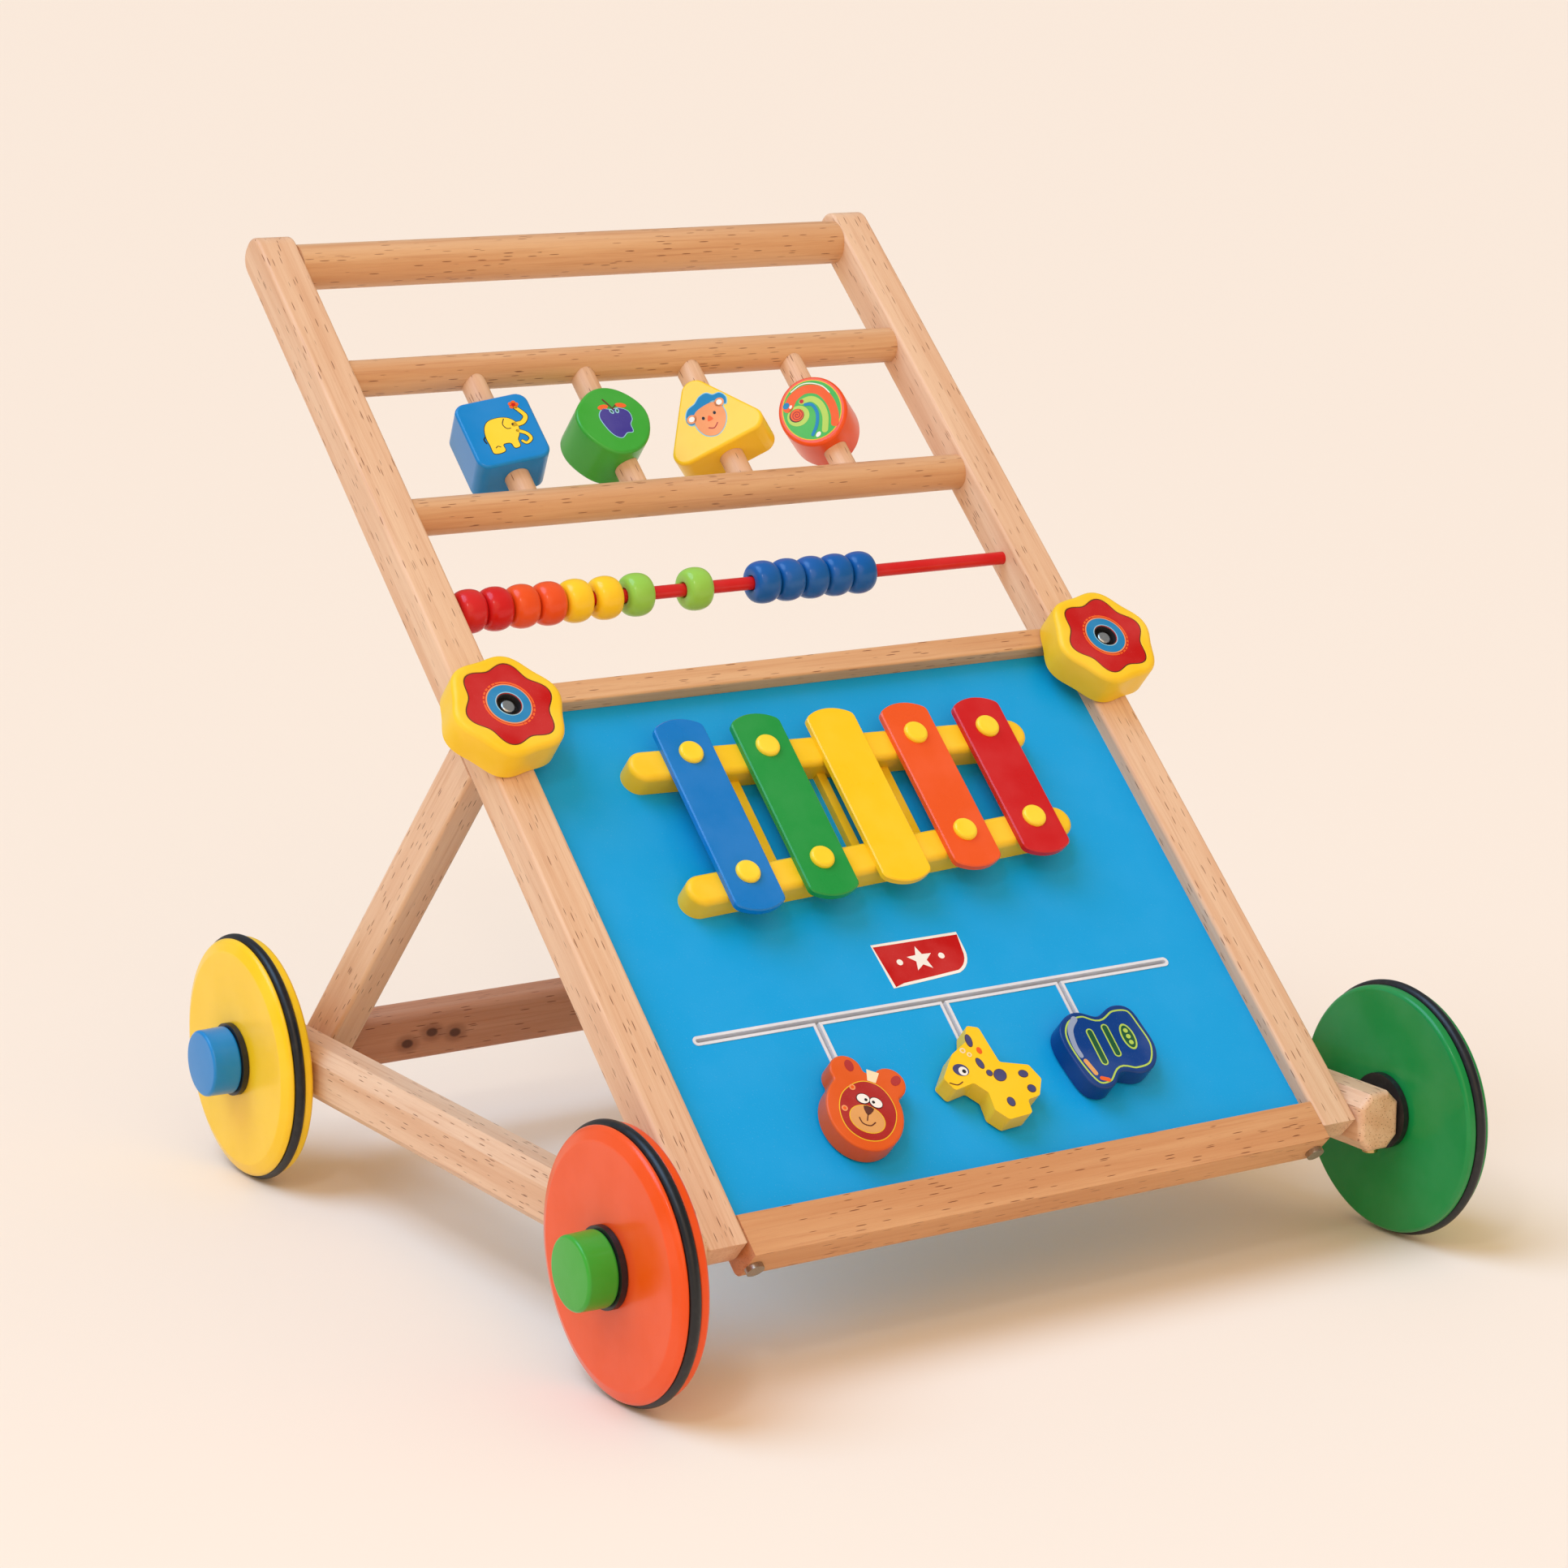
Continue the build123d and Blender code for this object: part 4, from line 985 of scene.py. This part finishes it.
class WALKER_OT_knobs(bpy.types.Operator):
    """Mould the flower knobs with their printed centres"""

    bl_idname = "walker.knobs"
    bl_label = "Clamp knobs"
    phase = radians(12)
    bore = 3.9
    cup_radius, cup_depth = 5.9, 5.0
    recess, edge = 0.8, 3.0
    dashes, long_dash, short_dash = 30, 0.105, 0.07

    def petals(self, radius, wave, height, steps=96):
        """Ring of points on a six-lobed outline, sizes in millimetres."""
        ring = []
        for i in range(steps):
            angle = tau * i / steps
            reach = radius + wave * cos(6 * (angle - self.phase))
            ring.append((reach * cos(angle) * MM, reach * sin(angle) * MM, height * MM))
        return ring

    def execute(self, context):
        shapes = context.scene.walker_shapes
        size, wave = shapes.knob_radius / MM, shapes.knob_wave / MM
        inner, inner_wave = shapes.flower_radius / MM, shapes.flower_wave / MM
        for side in ("left", "right"):
            knob = f"knob_{side}"
            low, high = frame_box(knob)
            height = (high[2] - low[2]) / MM
            place = on_frame((low[0] + high[0]) / 2, (low[1] + high[1]) / 2, low[2])
            body = body_of[knob]
            floor = height - self.recess
            rings = [self.petals(self.bore, 0, 0), self.petals(size - 1, wave, 0), self.petals(size, wave, 1)]
            for step in range(6):
                angle = radians(18 * step)
                bulge = self.edge * (1 - cos(angle))
                rings.append(self.petals(size - bulge, wave, height - self.edge * (1 - sin(angle))))
            rings += [
                self.petals(inner + 0.5, inner_wave, height),
                self.petals(inner + 0.15, inner_wave, height - 0.3),
                self.petals(inner + 0.15, inner_wave, floor),
                self.petals(self.cup_radius, 0, floor),
                self.petals(self.cup_radius, 0, height - self.cup_depth),
                self.petals(self.bore, 0, height - self.cup_depth),
            ]
            bm = bmesh.new()
            add_rings(bm, rings)
            finish_piece(knob + "_moulding", bm, place, plastic(), body, [knob], sharp=50)
            self.add_centre(knob, place, body, floor, inner, inner_wave, height)
        dress("clamp_bolts", metal("clamp_steel", "clamp", 0.3))
        return {"FINISHED"}

    def add_centre(self, knob, place, body, floor, inner, inner_wave, height):
        """Red flower, dashed orange ring, blue disc, brown painted shade round the flower and black painted shade
        lining the cup.
        """
        cup, cup_floor = self.cup_radius, height - self.cup_depth
        low, top = floor + 0.3, floor + 0.45
        bm = bmesh.new()
        add_rings(bm, [
            self.petals(cup + 0.05, 0, floor), self.petals(inner, inner_wave, floor),
            self.petals(inner, inner_wave, low), self.petals(inner - 0.2, inner_wave, top),
            self.petals(cup + 0.25, 0, top), self.petals(cup + 0.05, 0, low),
        ])
        finish_piece(knob + "_flower", bm, place, ink("red"), body)
        self.add_bands(knob, place, body, (
            # The brown ring at the flower's edge is painted shade for the crevice between the flower and the
            # recess wall.
            ("rim_line", "brown", inner - 0.45, inner + 0.05, inner_wave, top - 0.05, top + 0.02),
            ("pale_ring", "peach", 10.4, 11.1, 0, top, top + 0.1),
            ("blue_disc", "blue", cup + 0.3, 10.5, 0, top, top + 0.16),
            ("eye_line", "sky", cup + 0.3, 6.6, 0, top, top + 0.22),
        ))
        self.add_dashes(knob, place, body, top)
        # The black cup floor and wall lining are painted shade: they darken the recess where only shade falls.
        self.add_bands(knob, place, body, (
            ("cup", "black", self.bore + 0.05, cup - 0.02, 0, cup_floor + 0.01, cup_floor + 0.6),
            ("cup_wall", "black", cup - 0.4, cup - 0.02, 0, cup_floor + 0.6, low),
        ))

    def add_bands(self, knob, place, body, bands):
        """Flat rings as (name, ink, inside, outside, wave, bottom, top), in millimetres."""
        for name, shade, inside, outside, wave, bottom, top in bands:
            bm = bmesh.new()
            corners = ((inside, bottom), (outside, bottom), (outside, top), (inside, top))
            add_rings(bm, [self.petals(radius, wave, level) for radius, level in corners])
            finish_piece(f"{knob}_{name}", bm, place, ink(shade), body)

    def add_dashes(self, knob, place, body, height):
        """Ring of orange dashes, longer on two stretches."""
        near, far, thickness = 11.6, 12.5, 0.1
        bm = bmesh.new()
        for i in range(self.dashes):
            angle = tau * i / self.dashes
            reach = self.long_dash if i % 15 < 9 else self.short_dash
            start, end = angle - reach, angle + reach
            corners = ((start, near), (end, near), (end, far), (start, far))
            outline = [(r * cos(a), r * sin(a)) for a, r in corners]
            add_plate(bm, outline, height * MM, (height + thickness) * MM)
        finish_piece(knob + "_dashes", bm, place, ink("orange"), body)


class WALKER_OT_beads(bpy.types.Operator):
    """Turn the beads and paint their rod"""

    bl_idname = "walker.beads"
    bl_label = "Bead rod"
    play, mouth, chamfer, fullness, arc_steps = 0.08, 1.1, 0.7, 0.55, 24

    def execute(self, context):
        dress("bead_rod", paint("red"))
        rod_low, rod_high = frame_box("bead_rod")
        bore = (rod_high[1] - rod_low[1]) / 2 / MM + self.play
        throat = bore + self.mouth
        for number, colour in enumerate(bead_colours, start=1):
            bead = f"bead_{number:02d}"
            low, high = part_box(bead)
            half = (high.x - low.x) / 2 / MM
            radius = (frame_box(bead)[1][1] - frame_box(bead)[0][1]) / 2 / MM
            profile = []
            for i in range(self.arc_steps + 1):
                angle = pi * i / self.arc_steps
                profile.append((-half * cos(angle), throat + (radius - throat) * sin(angle) ** self.fullness))
            profile += [(half - self.chamfer, bore), (-half + self.chamfer, bore)]
            bm = bmesh.new()
            add_turned(bm, profile, steps=64)
            place = Matrix.Translation((low + high) / 2)
            finish_piece(bead + "_turned", bm, place, paint(colour), body_of[bead], [bead], sharp=60)
        return {"FINISHED"}


class WALKER_OT_panel(bpy.types.Operator):
    """Finish the blue panel, the figure track and the red badge"""

    bl_idname = "walker.panel"
    bl_label = "Activity panel"
    badge_left_shift, badge_drop, corner_radius = 2.25, 24.2, 12

    def execute(self, context):
        shapes = context.scene.walker_shapes
        laminate = coated(
            "panel_laminate", paint_colour("panel"), 0.45, coat=0.05, speckle=0.08, drifting=0.2
        )
        dress("activity_panel", laminate)
        dress("figure_track", coated("track_plastic", paint_colour("track"), 0.4, coat=0.1))
        low, high = frame_box("activity_panel")
        middle_u = (low[1] + high[1]) / 2
        place = on_frame(-self.badge_left_shift * MM, middle_u - self.badge_drop * MM, high[2])
        half_width = shapes.badge_width / MM / 2
        half_height = shapes.badge_height / MM / 2
        bend = self.corner_radius
        corner = [
            (half_width - bend + bend * cos(radians(a)), -half_height + bend + 2 + bend * sin(radians(a)))
            for a in range(0, -75, -12)
        ]
        outline = [
            (-half_width, half_height), (half_width, half_height), *corner, (0, -half_height + 1.4),
            (-half_width + 8, -half_height + 0.4), (-half_width + 1.4, -half_height),
        ]
        picture = [
            ("white", 2, outline),
            ("red", 3, grown(outline, -1.5)),
            ("white", 4, star(-1.5, 0.8, 7, 3)),
            ("white", 4, oval(-13, 0.8, 1.6)),
            ("white", 4, oval(10, 0.8, 1.6)),
        ]
        print_picture("panel_badge", picture, place, body_of["activity_panel"])
        return {"FINISHED"}


class WALKER_OT_xylophone(bpy.types.Operator):
    """Finish the xylophone's stand, bars and pins"""

    bl_idname = "walker.xylophone"
    bl_label = "Xylophone"

    def execute(self, context):
        dress("xylophone_frame", plastic())
        dress("xylophone_pins", coated("pin_plastic", paint_colour("pins"), 0.32, coat=0.35))
        for colour in bar_colours:
            dress(f"bar_{colour}", enamel(colour))
        return {"FINISHED"}


class WALKER_OT_blocks(bpy.types.Operator):
    """Paint the turning blocks and print their pictures"""

    bl_idname = "walker.blocks"
    bl_label = "Turning blocks"
    blocks = {
        "square": ("blue", 12, elephant_picture),
        "fruit": ("leaf", 0, plum_picture),
        "triangle": ("yellow", 40, friendly_face_picture),
        "round": ("orange", 42, swirl_picture),
    }
    half_thickness = 12.5

    def execute(self, context):
        peg_low, peg_high = frame_box("block_pegs")
        axis_n = (peg_low[2] + peg_high[2]) / 2
        for name, (colour, turn, picture) in self.blocks.items():
            node = f"block_{name}"
            dress(node, paint(colour))
            spot = Vector(joints[node + "_spin"]["pos_m"])
            middle = on_frame(spot.x, spot.dot(along), axis_n, radians(turn))
            place = middle @ Matrix.Translation((0, 0, self.half_thickness * MM))
            print_picture(node, picture(), place, body_of[node])
        return {"FINISHED"}


class WALKER_OT_figures(bpy.types.Operator):
    """Paint the bear, giraffe and guitar and print their faces"""

    bl_idname = "walker.figures"
    bl_label = "Sliding figures"
    pictures = {
        "bear": (-74.3, 39.2, -31, bear_picture),
        "giraffe": (-3, 46, 0, giraffe_picture),
        "guitar": (63.8, 50.5, 0, guitar_picture),
    }

    def execute(self, context):
        dress("figure_bear", satin_paint("bear"))
        dress("figure_giraffe", paint("yellow"))
        dress("figure_guitar", satin_paint("guitar"))
        foot = frame_box("activity_panel")[0][1]
        for name, (x, rise, roll, picture) in self.pictures.items():
            node = f"figure_{name}"
            place = on_frame(x * MM, foot + rise * MM, frame_box(node)[1][2], roll=radians(roll))
            print_picture(node, picture(), place, body_of[node])
        return {"FINISHED"}


class WALKER_OT_screws(bpy.types.Operator):
    """Finish the screws under the frame"""

    bl_idname = "walker.screws"
    bl_label = "Screws"

    def execute(self, context):
        dress("foot_screws", metal("screw_steel", "screw", 0.35))
        dress("rail_screws", metal("screw_brass", "brass", 0.3))
        return {"FINISHED"}


class WALKER_OT_studio(bpy.types.Operator):
    """Lay the pale floor and set the lights and the camera"""

    bl_idname = "walker.studio"
    bl_label = "Studio"
    floor_half = 60.0
    sheen_share = 0.4

    def execute(self, context):
        studio = context.scene.walker_studio
        bm = bmesh.new()
        bmesh.ops.create_grid(bm, x_segments=2, y_segments=2, size=self.floor_half)
        mesh = bpy.data.meshes.new("floor")
        bm.to_mesh(mesh)
        bm.free()
        material, _, shader = start_material("floor_paper", 0.9, tuple(studio.floor))
        shader.inputs["Specular IOR Level"].default_value = 0.0
        mesh.materials.append(material)
        floor = bpy.data.objects.new("floor", mesh)
        context.scene.collection.objects.link(floor)
        self.add_world(context.scene, studio)
        self.add_lights(context.scene, studio)
        self.add_camera(context.scene, studio)
        context.scene.view_settings.view_transform = "Standard"
        return {"FINISHED"}

    def add_world(self, scene, studio):
        """Even warm light, weaker in reflections; the camera sees the backdrop colour."""
        world = bpy.data.worlds.new("studio")
        world.use_nodes = True
        scene.world = world
        tree = world.node_tree
        light = tree.nodes["Background"]
        light.inputs["Color"].default_value = (*studio.sky_colour, 1)
        light.inputs["Strength"].default_value = studio.sky
        strength = self.sheen_share * studio.sky
        sheen = put(tree, "ShaderNodeBackground", Color=(1, 1, 1, 1), Strength=strength)
        backdrop = put(tree, "ShaderNodeBackground", Color=(*studio.backdrop, 1))
        rays = tree.nodes.new("ShaderNodeLightPath")
        glossy = tree.nodes.new("ShaderNodeMixShader")
        wire(tree, rays.outputs["Is Glossy Ray"], glossy.inputs["Fac"])
        wire(tree, light.outputs["Background"], glossy.inputs[1])
        wire(tree, sheen.outputs["Background"], glossy.inputs[2])
        choice = tree.nodes.new("ShaderNodeMixShader")
        wire(tree, rays.outputs["Is Camera Ray"], choice.inputs["Fac"])
        wire(tree, glossy.outputs["Shader"], choice.inputs[1])
        wire(tree, backdrop.outputs["Background"], choice.inputs[2])
        wire(tree, choice.outputs["Shader"], tree.nodes["World Output"].inputs["Surface"])

    def add_lights(self, scene, studio):
        """Broad sun from the upper left, a low warm one in front and a softbox for glints."""
        target = Vector((0, 0, 0.2))

        def aimed(name, kind, place, energy, **values):
            lamp = bpy.data.lights.new(name, kind)
            lamp.energy = energy
            for key, value in values.items():
                setattr(lamp, key, value)
            holder = bpy.data.objects.new(name, lamp)
            turn = (target - Vector(place)).to_track_quat("-Z", "Y").to_matrix().to_4x4()
            holder.matrix_world = Matrix.Translation(place) @ turn
            scene.collection.objects.link(holder)

        key_colour, fill_colour = tuple(studio.key_colour), tuple(studio.fill_colour)
        aimed("key_sun", "SUN", (-1.6, 0.5, 3), studio.key, angle=radians(44), color=key_colour)
        aimed("fill_sun", "SUN", (-1.0, -2.4, 1.5), studio.fill, angle=radians(50), color=fill_colour)
        aimed("glint_box", "AREA", (-1.2, -1.1, 1.7), studio.glint, shape="RECTANGLE", size=0.2, size_y=0.3)

    def add_camera(self, scene, studio):
        """Camera in front of the walker's left side, a little above it."""
        lens = bpy.data.cameras.new("camera")
        lens.lens = studio.lens
        lens.sensor_width = 36
        lens.clip_end = 200
        camera = bpy.data.objects.new("camera", lens)
        turn = Matrix.Rotation(-studio.azimuth, 4, "Z") @ Matrix.Rotation(pi / 2 - studio.elevation, 4, "X")
        camera.matrix_world = Matrix.Translation(studio.place) @ turn @ Matrix.Rotation(studio.roll, 4, "Z")
        scene.collection.objects.link(camera)
        scene.camera = camera


steps = (
    WALKER_OT_woodwork,
    WALKER_OT_wheels,
    WALKER_OT_axles,
    WALKER_OT_knobs,
    WALKER_OT_beads,
    WALKER_OT_panel,
    WALKER_OT_xylophone,
    WALKER_OT_blocks,
    WALKER_OT_figures,
    WALKER_OT_screws,
    WALKER_OT_studio,
)


class WALKER_PT_workshop(bpy.types.Panel):
    """Walker settings and steps"""

    bl_idname = "WALKER_PT_workshop"
    bl_label = "Baby walker"
    bl_space_type = "VIEW_3D"
    bl_region_type = "UI"
    bl_category = "Walker"

    def draw(self, context):
        for attribute, group in settings_groups:
            box = self.layout.box()
            box.label(text=group.__doc__)
            for name in group.__annotations__:
                box.prop(getattr(context.scene, attribute), name)
        for step in steps:
            self.layout.operator(step.bl_idname)


def register():
    """Add the settings, steps and panel."""
    for attribute, group in settings_groups:
        bpy.utils.register_class(group)
        setattr(bpy.types.Scene, attribute, bpy.props.PointerProperty(type=group))
    for step in (*steps, WALKER_PT_workshop):
        bpy.utils.register_class(step)


def unregister():
    """Take the settings, steps and panel away again."""
    for step in (WALKER_PT_workshop, *reversed(steps)):
        bpy.utils.unregister_class(step)
    for attribute, group in reversed(settings_groups):
        delattr(bpy.types.Scene, attribute)
        bpy.utils.unregister_class(group)


def main():
    """Build the whole walker."""
    register()
    for step in steps:
        area, name = step.bl_idname.split(".")
        if getattr(getattr(bpy.ops, area), name)() != {"FINISHED"}:
            raise RuntimeError(f"{step.bl_label} did not finish")


if __name__ == "__main__":
    main()
